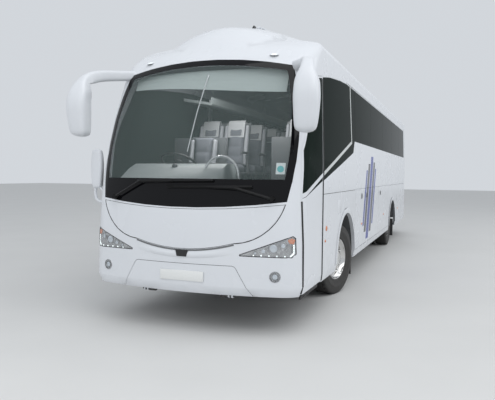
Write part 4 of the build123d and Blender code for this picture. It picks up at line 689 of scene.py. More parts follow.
def arc_points(a, b, c, count):
    """Points on the arc through three (y, z) points."""
    (my, mz), radius = circle_through(a, b, c)
    start, end = (math.atan2(p[1] - mz, p[0] - my) for p in (a, c))
    sweep = (end - start + math.pi) % (2 * math.pi) - math.pi
    turns = [start + sweep * i / count for i in range(count + 1)]
    return [(my + radius * math.cos(turn), mz + radius * math.sin(turn)) for turn in turns]


plate_white = surface("plate_white", (0.74, 0.75, 0.74), (0.78, 0.79, 0.78), 200, (0.25, 0.35))
PLATE_HALF, PLATE_Z = 0.26, (0.5765, 0.6875)
plate_x = on_front(0, PLATE_Z[1], 0.002).x
plate = box_piece("number_plate_front", (plate_x - 0.004, -PLATE_HALF, PLATE_Z[0]),
                  (plate_x + 0.008, PLATE_HALF, PLATE_Z[1]), 0.003)
finish_piece(plate, "bumper_centre", plate_white, "body_paint")
black_plastic = surface("black_plastic", (0.012, 0.012, 0.013), (0.025, 0.025, 0.026), 60, (0.3, 0.45),
                        0.0003)
rubber_black = surface("rubber_black", (0.01, 0.01, 0.011), (0.02, 0.02, 0.02), 40, (0.5, 0.65), 0.0003)
slot_grey = surface("slot_grey", (0.12, 0.125, 0.13), (0.17, 0.175, 0.18), 30, (0.4, 0.5))

# Rubber in the lid's side seams, and the broad slot under its lower edge
SLOT_BEAD, SLOT_DROP, SLOT_SUNK, SEAM_BEAD, SEAM_SUNK = 0.011, 0.012, 0.0044, 0.0045, 0.002
LID_ARCS = (
    # three (side, height) points of each
    ((-1.110, 1.420), (-1.000, 1.205), (-0.589, 1.000)),
    ((-0.589, 1.000), (0, 0.920), (0.589, 1.000)),
    ((0.589, 1.000), (1.000, 1.205), (1.110, 1.420)),
)
for number, arc in enumerate(LID_ARCS):
    points, radius, finish = arc_points(*arc, 16), SEAM_BEAD, rubber_black
    line = [on_front(y, z, -SEAM_SUNK) for y, z in points]
    if number == 1:
        radius, finish = SLOT_BEAD, slot_grey
        line = [on_front(y, z - SLOT_DROP, -SLOT_SUNK, ("front_mask",)) for y, z in points]
    finish_piece(bead(f"lid_seal_{number}", line, radius), "body", finish, "black_trim")

# The ridge: a crowned lip from lamp to lamp under the lid, with the sensor cover at its middle
RIDGE_UPPER = ((-0.62, 0.985), (0, 0.900), (0.62, 0.985))
RIDGE_LOWER = ((-0.62, 0.885), (0, 0.822), (0.62, 0.885))
RIDGE_LIFT, RIDGE_STEPS, RIDGE_ROWS = 0.012, 24, 8
upper_line = arc_points(*RIDGE_UPPER, RIDGE_STEPS)
lower_line = arc_points(*RIDGE_LOWER, RIDGE_STEPS)


def ridge_place(u, v):
    (y0, z0), (y1, z1) = (line[round(u * RIDGE_STEPS)] for line in (lower_line, upper_line))
    place = on_front(y0 + (y1 - y0) * v, z0 + (z1 - z0) * v, 0, ("front_mask",))
    taper = min(1, 4 * u, 4 * (1 - u))
    return place + Vector((RIDGE_LIFT * taper * math.sin(math.pi * min(1, v * 1.1)) ** 0.7 - 0.001, 0, 0))


ridge = shaped_grid("front_ridge", RIDGE_STEPS, RIDGE_ROWS, ridge_place)
finish_piece(ridge, "body", body_white, "body_paint", 60)
SENSOR = (0.075, 0.058, 0.838, 0.912)        # half widths at the top and foot, lower and upper edge
sensor_x = on_front(0, 0.87).x
cover = box_piece("sensor_cover", (sensor_x - 0.004, -SENSOR[0], SENSOR[2]),
                  (sensor_x + 0.016, SENSOR[0], SENSOR[3]), 0.006)
for point in cover.data.vertices:
    share = (point.co.z - SENSOR[2]) / (SENSOR[3] - SENSOR[2])
    point.co.y *= (SENSOR[1] + (SENSOR[0] - SENSOR[1]) * share) / SENSOR[0]
finish_piece(cover, "body", black_plastic, "black_trim")

# Headlamps and fog lamps
# A clear moulded cover over a chromed bowl that holds a projector, two round lamps, an amber corner
# lens and a row of small white lights along its foot.
lens_clear = surface("lens_clear", (0.75, 0.78, 0.8), (0.8, 0.82, 0.84), 30, (0.02, 0.05), 0.0, Alpha=0.16)
lamp_chrome = surface("lamp_chrome", (0.12, 0.125, 0.13), (0.72, 0.73, 0.74), 25, (0.08, 0.2), Metallic=1.0)
lamp_glass = surface("lamp_glass", (0.5, 0.55, 0.6), (0.7, 0.75, 0.8), 40, (0.02, 0.05), 0.0, Metallic=0.7)
amber_lens = surface("amber_lens", (0.55, 0.15, 0.05), (0.65, 0.22, 0.08), 60, (0.05, 0.12), Coat_Weight=0.5)
led_white = surface("led_white", (0.9, 0.95, 0.95), (0.95, 1, 1), 50, (0.1, 0.2), 0.0,
                    Emission_Color=(0.9, 1, 1, 1), Emission_Strength=0.7)
welded("headlamps", "body", lens_clear, "lamp_lens")
LAMP_OUTLINE = ((0.652, 0.874), (1.185, 0.868), (1.222, 0.905), (1.214, 1.070), (1.192, 1.090),
                (0.655, 0.888))
LAMP_ROUNDS = (
    # side, height, radius, what it is
    (0.815, 0.905, 0.022, "chrome"),
    (0.900, 0.930, 0.038, "chrome"),
    (1.005, 0.960, 0.050, "glass"),
    (1.105, 0.990, 0.042, "chrome"),
)
LAMP_DEEP, LAMP_SEAL = 0.010, 0.0045
BOWL_LOW = ((0.668, 0.880), (1.180, 0.876), (1.210, 0.906))
BOWL_HIGH = ((0.668, 0.889), (1.180, 1.076), (1.208, 1.060))
AMBER_BULBS = ((1.165, 1.045), (1.185, 1.052), (1.200, 1.045), (1.175, 1.028), (1.195, 1.025))
DOT_LINE, DOTS = ((0.80, 0.884), (1.175, 0.880), (1.207, 0.915), (1.205, 0.995)), 15
FOG_AT, FOG_RINGS = (1.025, 0.665), ((0.052, 0.006), (0.034, 0.004))
MARKER_AT, MARKER_FLAT = (0.8, 3.086), 0.45


def lamp_spot(y, z, deep):
    """Point behind the cover, and the direction that it faces."""
    place, normal = seen_from((7, y, z), (-1, 0, 0), "headlamps")
    return place - normal * deep, normal


def faced(name, normal, size=(1, 1, 1)):
    """Names the object that was just made about +Z, sizes it and turns it to face a direction."""
    made = named(name)
    made.scale = size
    made.rotation_mode = "QUATERNION"
    made.rotation_quaternion = normal.to_track_quat("Z", "Y")
    bpy.ops.object.transform_apply(location=True, rotation=True, scale=True)
    return made


def dome_at(name, place, normal, radius, height, segments=20, rings=10):
    """Flattened ball on a surface."""
    clear_selection()
    bpy.ops.mesh.primitive_uv_sphere_add(segments=segments, ring_count=rings, radius=1, location=place)
    return faced(name, normal, (radius, radius, height))


def ring_at(name, place, normal, radius, thick, segments=28):
    """Round ring on a surface."""
    clear_selection()
    bpy.ops.mesh.primitive_torus_add(major_radius=radius, minor_radius=thick, major_segments=segments,
                                     minor_segments=8, location=place)
    return faced(name, normal)


def between(points, u):
    """Point at a share of a broken line's steps."""
    step = u * (len(points) - 1)
    i = min(int(step), len(points) - 2)
    (y0, z0), (y1, z1) = points[i], points[i + 1]
    return y0 + (y1 - y0) * (step - i), z0 + (z1 - z0) * (step - i)


for side, sign in (("left", 1), ("right", -1)):
    def bowl_place(u, v):
        (y0, z0), (y1, z1) = between(BOWL_LOW, u), between(BOWL_HIGH, u)
        place, normal = lamp_spot(sign * (y0 + (y1 - y0) * v), z0 + (z1 - z0) * v, LAMP_DEEP)
        return place + normal * 0.0025 * math.sin(14 * math.pi * u) ** 2

    edge_line = []
    for a, b in zip(LAMP_OUTLINE, LAMP_OUTLINE[1:] + LAMP_OUTLINE[:1]):
        count = max(1, round(math.dist(a, b) / 0.05))
        edge_line += [(a[0] + (b[0] - a[0]) * i / count, a[1] + (b[1] - a[1]) * i / count)
                      for i in range(count)]
    line = [on_front(sign * y, z, -0.002) for y, z in edge_line + edge_line[:1]]
    finish_piece(bead(f"lamp_seal_{side}", line, LAMP_SEAL), "body", rubber_black, "black_trim")
    bowl = shaped_grid(f"lamp_bowl_{side}", 56, 10, bowl_place, 0.001)
    finish_piece(bowl, "body", lamp_chrome, "lamp_lens", 40)
    rings, eyes = [], []
    for y, z, radius, kind in LAMP_ROUNDS:
        place, normal = lamp_spot(sign * y, z, LAMP_DEEP - 0.003)
        rings.append(ring_at("ring", place, normal, radius, 0.0045))
        eyes.append(dome_at("eye", place, normal, radius * (0.8 if kind == "glass" else 0.55), 0.006))
    finish_piece(fuse(f"lamp_rings_{side}", rings), "body", lamp_chrome, "lamp_lens")
    finish_piece(fuse(f"lamp_eyes_{side}", eyes), "body", lamp_glass, "lamp_lens")
    amber = []
    for y, z in AMBER_BULBS:
        place, normal = lamp_spot(sign * y, z, LAMP_DEEP - 0.003)
        amber.append(dome_at("amber", place, normal, 0.018, 0.007, 12, 8))
    finish_piece(fuse(f"lamp_amber_{side}", amber), "body", amber_lens, "lamp_lens")
    dots = []
    for number in range(DOTS):
        y, z = between(DOT_LINE, number / (DOTS - 1))
        place, normal = lamp_spot(sign * y, z, LAMP_DEEP - 0.004)
        dots.append(dome_at("dot", place, normal, 0.0085, 0.005, 10, 6))
    finish_piece(fuse(f"lamp_dots_{side}", dots), "body", led_white, "lamp_lens")
    place, normal = lamp_spot(sign * FOG_AT[0], FOG_AT[1], 0.004)
    fog_rings = [ring_at("fog", place + normal * 0.004, normal, r, t) for r, t in FOG_RINGS]
    finish_piece(fuse(f"fog_rings_{side}", fog_rings), "body", lamp_chrome, "lamp_lens")
    finish_piece(dome_at(f"fog_eye_{side}", place, normal, 0.03, 0.007), "body", lamp_glass, "lamp_lens")
    place, normal = seen_from((7, sign * MARKER_AT[0], MARKER_AT[1]), (-1, 0, 0), "roof_front")
    housing = dome_at(f"marker_housing_{side}", place, normal, 0.055, 0.02)
    lens = dome_at(f"marker_lens_{side}", place + normal * 0.006, normal, 0.042, 0.018)
    for piece, material, slot in ((housing, body_white, "body_paint"), (lens, led_white, "lamp_lens")):
        for point in piece.data.vertices:
            point.co.z = place.z + (point.co.z - place.z) * MARKER_FLAT
        finish_piece(piece, "body", material, slot)

# Mirrors
# Moulded white heads that hang from horn-shaped arms at the roof's front corners, and a low one on
# the driver's side on a bent bracket. Their glass is in the flat rear faces.
HORN = (
    # station, side, height, size across, other size, direction
    (0.800, 0.980, 2.952, 0.090, 0.118, (0.80, 0.60, -0.05)),
    (0.660, 1.090, 2.942, 0.090, 0.120, (0.82, 0.55, -0.07)),
    (0.520, 1.180, 2.925, 0.095, 0.124, (0.85, 0.45, -0.10)),
    (0.330, 1.270, 2.895, 0.106, 0.134, (0.85, 0.40, -0.25)),
    (0.190, 1.322, 2.845, 0.124, 0.148, (0.70, 0.28, -0.62)),
    (0.105, 1.346, 2.765, 0.165, 0.165, (0.40, 0.12, -0.90)),
    (0.062, 1.357, 2.675, 0.236, 0.200, (0.10, 0.02, -0.99)),
    (0.036, 1.362, 2.580, 0.256, 0.212, (0.00, 0.00, -1.00)),
    (0.031, 1.362, 2.490, 0.262, 0.216, (0.00, 0.00, -1.00)),
    (0.034, 1.360, 2.390, 0.252, 0.208, (0.00, 0.00, -1.00)),
    (0.040, 1.355, 2.270, 0.234, 0.194, (0.00, 0.00, -1.00)),
    (0.047, 1.350, 2.190, 0.200, 0.168, (0.00, 0.00, -1.00)),
    (0.060, 1.346, 2.160, 0.112, 0.098, (0.00, 0.00, -1.00)),
    (0.064, 1.345, 2.151, 0.000, 0.000, (0.00, 0.00, -1.00)),
)
LOW_HEAD = (
    (0.388, 1.366, 2.024, 0.000, 0.000, (0, 0, -1)),
    (0.388, 1.366, 2.016, 0.085, 0.056, (0, 0, -1)),
    (0.388, 1.366, 1.980, 0.128, 0.084, (0, 0, -1)),
    (0.388, 1.366, 1.850, 0.152, 0.100, (0, 0, -1)),
    (0.388, 1.366, 1.700, 0.146, 0.094, (0, 0, -1)),
    (0.388, 1.366, 1.590, 0.128, 0.084, (0, 0, -1)),
    (0.388, 1.366, 1.552, 0.090, 0.060, (0, 0, -1)),
    (0.388, 1.366, 1.547, 0.000, 0.000, (0, 0, -1)),
)
HORN_STEPS, HORN_SIDES, HORN_ROUND, UPRIGHT = 4, 36, 3.4, 0.999
HEAD_BACK, HORN_FREE_Z = 0.128, 2.79            # the heads are flat behind up to this height
ARM_STATION = 0.386
LOW_BRACKETS = (
    # name, (side, height) points, radius
    ("mirror_low_arm",
     ((-1.385, 1.575), (-1.398, 1.50), (-1.385, 1.42), (-1.34, 1.385), (-1.255, 1.365)), 0.019),
    ("mirror_low_stay", ((-1.345, 1.575), (-1.30, 1.53), (-1.255, 1.495)), 0.016),
)


def swept(name, sections, back, back_top):
    """Closed form through rounded sections, flat behind where it is lower than back_top."""
    def place(u, v):
        row = v * (len(sections) - 1)
        i = min(int(row + 1e-9), len(sections) - 2)
        t = row - i
        around = [sections[min(max(i + k, 0), len(sections) - 1)] for k in (-1, 0, 1, 2)]
        weights = (-0.5 * t + t * t - 0.5 * t ** 3, 1 - 2.5 * t * t + 1.5 * t ** 3,
                   0.5 * t + 2 * t * t - 1.5 * t ** 3, -0.5 * t * t + 0.5 * t ** 3)
        station, side, height, wide, other = (
            sum(w * r[k] for w, r in zip(weights, around)) for k in range(5))
        way = sum((w * Vector(r[5]) for w, r in zip(weights, around)), Vector()).normalized()
        flat = Vector((-way.y, way.x, 0)) if abs(way.z) < 0.995 else Vector((0, 1, 0))
        down = way.z ** 8 * UPRIGHT
        flat = (flat.normalized() * (1 - down) + Vector((0, 1, 0)) * down).normalized()
        other_way = way.cross(flat)
        turn = 2 * math.pi * u
        c, s = math.cos(turn), math.sin(turn)
        a = math.copysign(abs(c) ** (2 / HORN_ROUND), c) * max(wide, 0) / 2
        b = math.copysign(abs(s) ** (2 / HORN_ROUND), s) * max(other, 0) / 2
        spot = Vector((at(station), side, height)) + flat * a + other_way * b
        if spot.z < back_top:
            spot.x = max(spot.x, back)
        return spot

    return shaped_grid(name, HORN_SIDES, HORN_STEPS * (len(sections) - 1), place)


def other_side(piece, name):
    """Mirror image of a piece at the other side of the coach."""
    twin = twin_of(piece, name)
    for point in twin.data.vertices:
        point.co.y *= -1
    bpy.ops.object.mode_set(mode="EDIT")
    bpy.ops.mesh.select_all(action="SELECT")
    bpy.ops.mesh.normals_make_consistent(inside=False)
    bpy.ops.object.mode_set(mode="OBJECT")
    return twin


mirror_white = surface("mirror_white", BODY_WHITE, WHITE_SHADE, 3, (0.3, 0.4))
mirror_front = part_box("mirrors")[1].x
head_back = at(HEAD_BACK) + (mirror_front - at(-0.078))
horn_left = swept("mirror_left", HORN, head_back, HORN_FREE_Z)
for point in horn_left.data.vertices:
    point.co.x = min(point.co.x, mirror_front)
horn_right = other_side(horn_left, "mirror_right")
low_head = other_side(swept("mirror_low_draft", LOW_HEAD, at(0.424), 3), "mirror_low_head")
bpy.data.objects.remove(bpy.data.objects["mirror_low_draft"])
brackets = [bead(name, [(at(ARM_STATION), y, z) for y, z in line], radius, 10)
            for name, line, radius in LOW_BRACKETS]
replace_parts(finish_piece(horn_left, "body", mirror_white, "mirror_shell", 50), "mirrors")
finish_piece(horn_right, "body", mirror_white, "mirror_shell", 50)
finish_piece(fuse("mirror_low", [low_head, *brackets]), "body", mirror_white, "mirror_shell", 50)

# Side fittings
# Black rubber seals at the entrance door's front and rear edges and along the waist, latches of the
# luggage doors, amber side lamps, a step edge under the door and flaps behind the wheels.
LEFT_SKIN = ("skirt_left", "side_left", "entrance_door", "bay_door_left_1", "bay_door_left_2",
             "bay_door_left_3", "saloon_glass", "door_glass", "front_mask", "roof_front", "roof")
BESIDE = ((0, 0), (0.009, 0), (-0.009, 0), (0, 0.015), (0, -0.015), (0.012, 0.015), (-0.03, 0))
DOOR_SEAL, WAIST_SEAL, WAIST_Z = 0.014, 0.005, 1.500
DOOR_LINES = (("front", 0.318, 0.47, 1.45), ("rear", 1.1785, 0.462, 2.87))            # station, foot and top
WAIST_LINES = (("waist_seal", 1.20, 3.41, 0.3), ("waist_seal_rear", 8.10, 11.84, 0.6))      # ends and step
LATCHES = ((4.07, 1.38, 1), (4.62, 1.38, 2), (6.45, 1.37, 3))          # station, height, luggage door
MARKERS = (
    # station, height, radius, body of the left one
    (1.40, 1.07, 0.034, "body"), (1.34, 0.92, 0.018, "body"), (4.10, 0.91, 0.020, "bay_door_left_1"),
    (7.06, 0.88, 0.020, "bay_door_left_3"), (10.09, 0.85, 0.020, "body"),
)
MUD_FLAPS = ((3.42, 0.93), (9.50, 0.72))         # station and inner edge
FILLERS = ((2.2, 1.30), (9.9, 1.15))             # station and height


def on_side(station, z, lift=0.0):
    """Point of the left side at a station and height, lifted outward. Over a gap, the panel beside it."""
    for forward, higher in BESIDE:
        place, _ = seen_from((at(station) + forward, 2, z + higher), (0, -1, 0), *LEFT_SKIN)
        if place and place.y > 1.0:
            return Vector((at(station), place.y + lift, z))
    raise RuntimeError(f"no panel at station {station}, height {z}")


def side_line(points, step=0.08):
    """Points on the left side every step along a broken (station, height) line."""
    made = []
    for (s0, z0), (s1, z1) in zip(points, points[1:]):
        count = max(1, round(math.hypot(s1 - s0, z1 - z0) / step))
        made += [(s0 + (s1 - s0) * i / count, z0 + (z1 - z0) * i / count) for i in range(count)]
    return [on_side(s, z, -0.003) for s, z in [*made, points[-1]]]


def both_sides(piece, name, body, material, slot):
    """Finishes a piece and its mirror image at the right side."""
    twin = other_side(piece, f"{name}_right")
    finish_piece(piece, body, material, slot)
    finish_piece(twin, body.replace("left", "right"), material, slot)


for end, station, foot, top in DOOR_LINES:
    seal = bead(f"door_seal_{end}", side_line([(station, foot), (station, top)]), DOOR_SEAL)
    finish_piece(seal, "body", rubber_black, "black_trim")
for name, start, end, step in WAIST_LINES:
    seal = bead(f"{name}_left", side_line([(start, WAIST_Z), (end, WAIST_Z)], step), WAIST_SEAL)
    both_sides(seal, name, "body", rubber_black, "black_trim")
for number, (station, z, door) in enumerate(LATCHES):
    x, y = at(station), on_side(station, z).y
    plate = box_piece("plate", (x - 0.028, y - 0.004, z - 0.045), (x + 0.028, y + 0.006, z + 0.045), 0.008)
    lever = box_piece("lever", (x - 0.012, y + 0.002, z - 0.032), (x + 0.012, y + 0.011, z + 0.03), 0.004)
    latch = fuse(f"latch_{number}_left", [plate, lever])
    both_sides(latch, f"latch_{number}", f"bay_door_left_{door}", black_plastic, "black_trim")
for number, (station, z, radius, body) in enumerate(MARKERS):
    place = on_side(station, z)
    lamp = dome_at(f"side_lamp_{number}_left", place, Vector((0, 1, 0)), radius, 0.011, 16, 10)
    for point in lamp.data.vertices:
        point.co.x = place.x + (point.co.x - place.x) * 1.5
    both_sides(lamp, f"side_lamp_{number}", body, amber_lens, "lamp_lens")
edge = box_piece("step_edge", (at(1.16), 1.205, 0.385), (at(0.40), 1.228, 0.446), 0.008)
finish_piece(edge, "body", rubber_black, "black_trim")
for number, (station, inner) in enumerate(MUD_FLAPS):
    flap = box_piece(f"mud_flap_{number}_left", (at(station) - 0.005, inner, 0.16),
                     (at(station) + 0.005, 1.225, 0.60), 0.003)
    both_sides(flap, f"mud_flap_{number}", "body", rubber_black, "black_trim")
fillers = []
for station, z in FILLERS:
    x, y = at(station), on_side(station, z).y
    low, high = (x - 0.11, y - 0.004, z - 0.09), (x + 0.11, y + 0.003, z + 0.09)
    fillers.append(box_piece("flap", low, high, 0.006, 3))
finish_piece(fuse("filler_flaps", fillers), "body", body_white, "body_paint")

# Rear and roof fittings
# Round lamps behind the red lenses, a high brake lamp, a bumper with a black strip, an exhaust end
# and a small aerial on the roof.


def on_rear(y, z):
    """Point of the rear face at a side and height."""
    return seen_from((-8, y, z), (1, 0, 0), "rear_panel", "rear_lid", "tail_lamps", "saloon_glass")[0]


red_lens = surface("red_lens", (0.5, 0.015, 0.015), (0.6, 0.03, 0.03), 60, (0.05, 0.12), Coat_Weight=0.5)
TAIL_Y, TAIL_ROUNDS = 1.125, ((1.01, red_lens), (1.15, amber_lens), (1.27, red_lens), (1.39, lamp_glass))
for sign, side in ((1, "left"), (-1, "right")):
    for number, (z, material) in enumerate(TAIL_ROUNDS):
        place = on_rear(sign * TAIL_Y, z)
        normal = seen_from((-8, sign * TAIL_Y, z), (1, 0, 0), "tail_lamps")[1]
        lamp = ring_at("tail", place - normal * 0.004, normal, 0.046, 0.006, 24)
        eye = dome_at("tail_eye", place - normal * 0.006, normal, 0.036, 0.009, 18, 10)
        piece = fuse(f"tail_round_{number}_{side}", [lamp, eye])
        finish_piece(piece, "body", material, "tail_lens")
high_x = on_rear(0, 3.14).x
brake = box_piece("high_brake_lamp", (high_x - 0.004, -0.25, 3.13), (high_x + 0.02, 0.25, 3.155), 0.004)
finish_piece(brake, "body", red_lens, "tail_lens")
strip_x = on_rear(0, 0.56).x
lip = box_piece("rear_bumper_strip", (strip_x + 0.0005, -1.02, 0.53), (strip_x + 0.02, 1.02, 0.58), 0.006)
finish_piece(lip, "body", rubber_black, "black_trim")
EXHAUST_AT = (-6.02, -0.85, 0.42)
EXHAUST_WALL = ((0.040, -0.09), (0.045, -0.09), (0.045, 0.06), (0.040, 0.06))
exhaust = lathe("exhaust_end", EXHAUST_WALL, 24, closed=True)
turn = Matrix.Translation(EXHAUST_AT) @ Matrix.Rotation(math.radians(90), 4, "Z")
exhaust_end = copied(exhaust, "exhaust_pipe_end", turn)
bpy.data.objects.remove(exhaust)
finish_piece(exhaust_end, "body", chrome, "rim_metal")


FIN_HALF, FIN_THICK, FIN_TALL = 0.05, 0.014, 0.035
fin_foot = seen_from((at(1.45), 0.28, 5), (0, 0, -1), "roof_front", "roof")[0]
fin = box_piece("roof_aerial", (fin_foot.x - FIN_HALF, fin_foot.y - FIN_THICK, fin_foot.z - 0.01),
                (fin_foot.x + FIN_HALF, fin_foot.y + FIN_THICK, fin_foot.z + FIN_TALL), 0.006, 3)
for point in fin.data.vertices:
    rise = max(0.0, point.co.z - fin_foot.z) / FIN_TALL
    point.co.x -= 0.03 * rise * (point.co.x > fin_foot.x)
    point.co.y = fin_foot.y + (point.co.y - fin_foot.y) * (1 - 0.6 * rise)
finish_piece(fin, "body", black_plastic, "black_trim")

# Passenger seats
# Steel-framed double seats with moulded foam cushions under dark wool cloth: a crowned seat pad, a
# waisted back with sewn channels and pale bolsters, and a pale head cover. Grey plastic backs them.
SEAT_ROWS, ROW_FIRST, ROW_PITCH = 12, 2.30, 0.80
FLOOR_TOP = 1.44
SEAT_MIDDLES = (0.51, 0.95)
SEAT_PAD = ((-0.41, -0.205, 0.32), (-0.015, 0.205, 0.425))        # corners: x is forward of the seat's front
BACK_LEAN = math.radians(12.2)
BACK_FOOT = Vector((-0.435, 0, 0.40))
BACK_WIDE, BACK_TALL = 0.42, 0.74
CHANNELS, CHANNEL_DEEP, CHANNEL_HALF = (0.16, 0.32, 0.48), 0.010, 0.022
PAD_CROWN, PAD_WAIST, BACK_CROWN, BACK_WAIST = 0.012, 0.008, 0.018, 0.012
PAD_VOXEL, PAD_FRAMES, PAD_PRESSURE, PAD_KEEP = 0.020, 14, 3.0, 0.016


def padded_form(name, low, high, pinch):
    """Foam pad: a box with waisted sides, swelled as stitched cloth over foam."""
    pad = box_piece(name, low, high, 0.03, 3)
    middle, size = (Vector(low) + Vector(high)) / 2, Vector(high) - Vector(low)
    altered(pad, "REMESH", mode="VOXEL", voxel_size=PAD_VOXEL)
    for point in pad.data.vertices:
        share = point.co - middle
        u, v, w = (2 * share[i] / size[i] for i in range(3))
        fall = [max(0, 1 - a * a) for a in (u, v, w)]
        if pinch == "z":
            point.co.z += PAD_CROWN * fall[0] * fall[1] * (w > 0)
            point.co.y -= math.copysign(PAD_WAIST, v) * fall[0] * (abs(v) > 0.8)
        else:
            point.co.x += BACK_CROWN * fall[1] * fall[2] * (u > 0)
            point.co.y -= math.copysign(BACK_WAIST, v) * fall[2] * (abs(v) > 0.8)
    rest = [point.co.copy() for point in pad.data.vertices]
    cloth = pad.modifiers.new("swell", "CLOTH")
    cloth.settings.use_pressure = True
    cloth.settings.uniform_pressure_force = PAD_PRESSURE
    cloth.settings.effector_weights.gravity = 0
    cloth.point_cache.frame_start, cloth.point_cache.frame_end = 1, PAD_FRAMES
    for frame_number in range(1, PAD_FRAMES + 1):
        bpy.context.scene.frame_set(frame_number)
    bpy.ops.object.modifier_apply(modifier="swell")
    for point, start in zip(pad.data.vertices, rest):
        move = point.co - start
        if move.length > PAD_KEEP:
            point.co = start + move.normalized() * PAD_KEEP
    bpy.context.scene.frame_set(1)
    return pad


def channelled(piece):
    """Sewn channels across a back, pressed into its front."""
    for point in piece.data.vertices:
        for z in CHANNELS:
            near = abs(point.co.z - z) / CHANNEL_HALF
            if near < 1 and point.co.x > 0.01:
                point.co.x -= CHANNEL_DEEP * (1 - near * near)
    return piece


def back_place(x, y, z):
    """Place on a seat's back: forward of its middle, across, and up along it."""
    c, s = math.cos(BACK_LEAN), math.sin(BACK_LEAN)
    return BACK_FOOT + Vector((x * c - z * s, y, x * s + z * c))


def leaned(piece, share):
    """Thins a piece of the back to a share of its faces, and leans it back."""
    altered(piece, "DECIMATE", ratio=share)
    for point in piece.data.vertices:
        point.co = back_place(*point.co)
    return piece


seat_pale = surface("seat_pale", (0.26, 0.27, 0.29), (0.31, 0.32, 0.34), 70, (0.7, 0.85), 0.0008)
cover_pale = surface("cover_pale", (0.34, 0.35, 0.36), (0.40, 0.41, 0.42), 120, (0.75, 0.9), 0.0006)
seat_plastic = surface("seat_plastic", (0.07, 0.075, 0.08), (0.10, 0.105, 0.11), 60, (0.4, 0.55), 0.0003)
half_back = BACK_WIDE / 2
pad = altered(padded_form("pad", *SEAT_PAD, "z"), "DECIMATE", ratio=0.45)
back = padded_form("back", (-0.035, -half_back + 0.05, 0.0), (0.04, half_back - 0.05, BACK_TALL - 0.02), "x")
back = leaned(channelled(back), 0.45)
bolsters = []
for sign in (-1, 1):
    low, high = sorted((sign * (half_back - 0.062), sign * (half_back - 0.004)))
    bolsters.append(padded_form("bolster", (-0.03, low, 0.02), (0.055, high, BACK_TALL - 0.06), "x"))
bolster = leaned(fuse("bolster", bolsters), 0.35)
COVER_PATH = (
    # forward of the back's middle, over its top
    (0.062, -0.27), (0.066, -0.12), (0.060, -0.02), (0.030, 0.012), (-0.012, 0.012), (-0.050, -0.03),
    (-0.054, -0.14),
)


def cover_shape(u, v):
    """Cover folded over the back's top: front fall, top and rear fall."""
    x, z = between(COVER_PATH, u)
    y = (v - 0.5) * (2 * half_back - 0.14)
    return back_place(x - 0.012 * (2 * v - 1) ** 2 * (x > 0), y, BACK_TALL + z)


cover = shaped_grid("cover", 12, 6, cover_shape, 0.004)


def shell_shape(u, v):
    """Plastic shell behind the back, curved round its sides."""
    y = (v - 0.5) * (BACK_WIDE + 0.004)
    z = 0.02 + u * (BACK_TALL - 0.03)
    return back_place(-0.052 + 0.022 * (2 * v - 1) ** 4, y, z)


shell = shaped_grid("shell", 8, 8, shell_shape, 0.008)


FRAME_PARTS = (
    # name, how far behind the seat's front, side, height over the floor, rounding and its steps
    ("leg", (0.30, 0.16), (0.46, 0.50), (0.0, 0.30), 0.008, 1),
    ("leg", (0.30, 0.16), (0.96, 1.00), (0.0, 0.30), 0.008, 1),
    ("frame", (0.42, 0.04), (0.30, 1.16), (0.285, 0.325), 0.01, 1),
    ("armrest", (0.45, 0.16), (0.268, 0.298), (0.60, 0.64), 0.012, 2),
    ("arm_post", (0.44, 0.40), (0.268, 0.298), (0.30, 0.62), 0.008, 1),
)


def seat_copies(part, places, name, sign=1):
    """Copies of a part at seat places, as one piece."""
    made = []
    for number, (station, y, z) in enumerate(places):
        made.append(copied(part, f"{name}_{number}", Matrix.Translation((at(station), sign * y, z))))
    return fuse(name, made)


for sign, side in ((1, "left"), (-1, "right")):
    for half, rows in (("front", range(6)), ("rear", range(6, SEAT_ROWS))):
        places = [(ROW_FIRST + row * ROW_PITCH, y, FLOOR_TOP) for row in rows for y in SEAT_MIDDLES]
        for part, name, material in ((pad, "seat_pads", seat_cloth), (back, "seat_backs", seat_cloth),
                                     (bolster, "seat_bolsters", seat_pale)):
            piece = seat_copies(part, places, f"{name}_{side}_{half}", sign)
            finish_piece(piece, "body", material, "seat_fabric", 70)
        finish_piece(seat_copies(cover, places, f"head_covers_{side}_{half}", sign), "body", cover_pale,
                     "seat_fabric", 70)
        frames = [seat_copies(shell, places, f"seat_shells_{side}_{half}", sign)]
        for row in rows:
            x = at(ROW_FIRST + row * ROW_PITCH)
            for name, (rear, fore), across, (foot, top), edge, steps in FRAME_PARTS:
                low, high = sorted(sign * y for y in across)
                frames.append(box_piece(name, (x - rear, low, FLOOR_TOP + foot),
                                        (x - fore, high, FLOOR_TOP + top), edge, steps))
        finish_piece(fuse(f"seat_frames_{side}_{half}", frames), "body", seat_plastic, "cab_plastic")
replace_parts(bpy.data.objects["seat_pads_left_front"], "passenger_seats")

# Driver's cab
# The driver's seat on its box, a torus-rimmed steering wheel, instruments on the dashboard, a roller
# blind and its cord bar behind the screen, a blank round permit, and a bent handrail by the steps.
DRIVER_AT = (1.35, -0.64, 1.16)
RIM_R, RIM_THICK, SPOKE_END, SPOKE_Z = 0.230, 0.0155, 0.222, (-0.018, -0.006)
BOSS = ((0.0, -0.022), (0.045, -0.022), (0.056, -0.012), (0.056, 0.008), (0.044, 0.020), (0.0, 0.024))
VENTS, DIALS = (-0.75, -0.35, 0.05), (-0.725, -0.555)
for part, name, material in ((pad, "driver_pad", seat_cloth), (back, "driver_back", seat_cloth),
                             (bolster, "driver_bolsters", seat_pale)):
    piece = seat_copies(part, [DRIVER_AT], name)
    finish_piece(piece, "body", material, "seat_fabric", 70)
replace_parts(bpy.data.objects["driver_pad"], "driver_seat")
driver_shell = seat_copies(shell, [DRIVER_AT], "driver_shell")
driver_box = box_piece("driver_box", (at(1.72), -0.77, 1.10), (at(1.45), -0.51, 1.46), 0.02, 3)
driver_frame = box_piece("driver_frame", (at(1.78), -0.84, 1.44), (at(1.38), -0.44, 1.485), 0.012, 2)
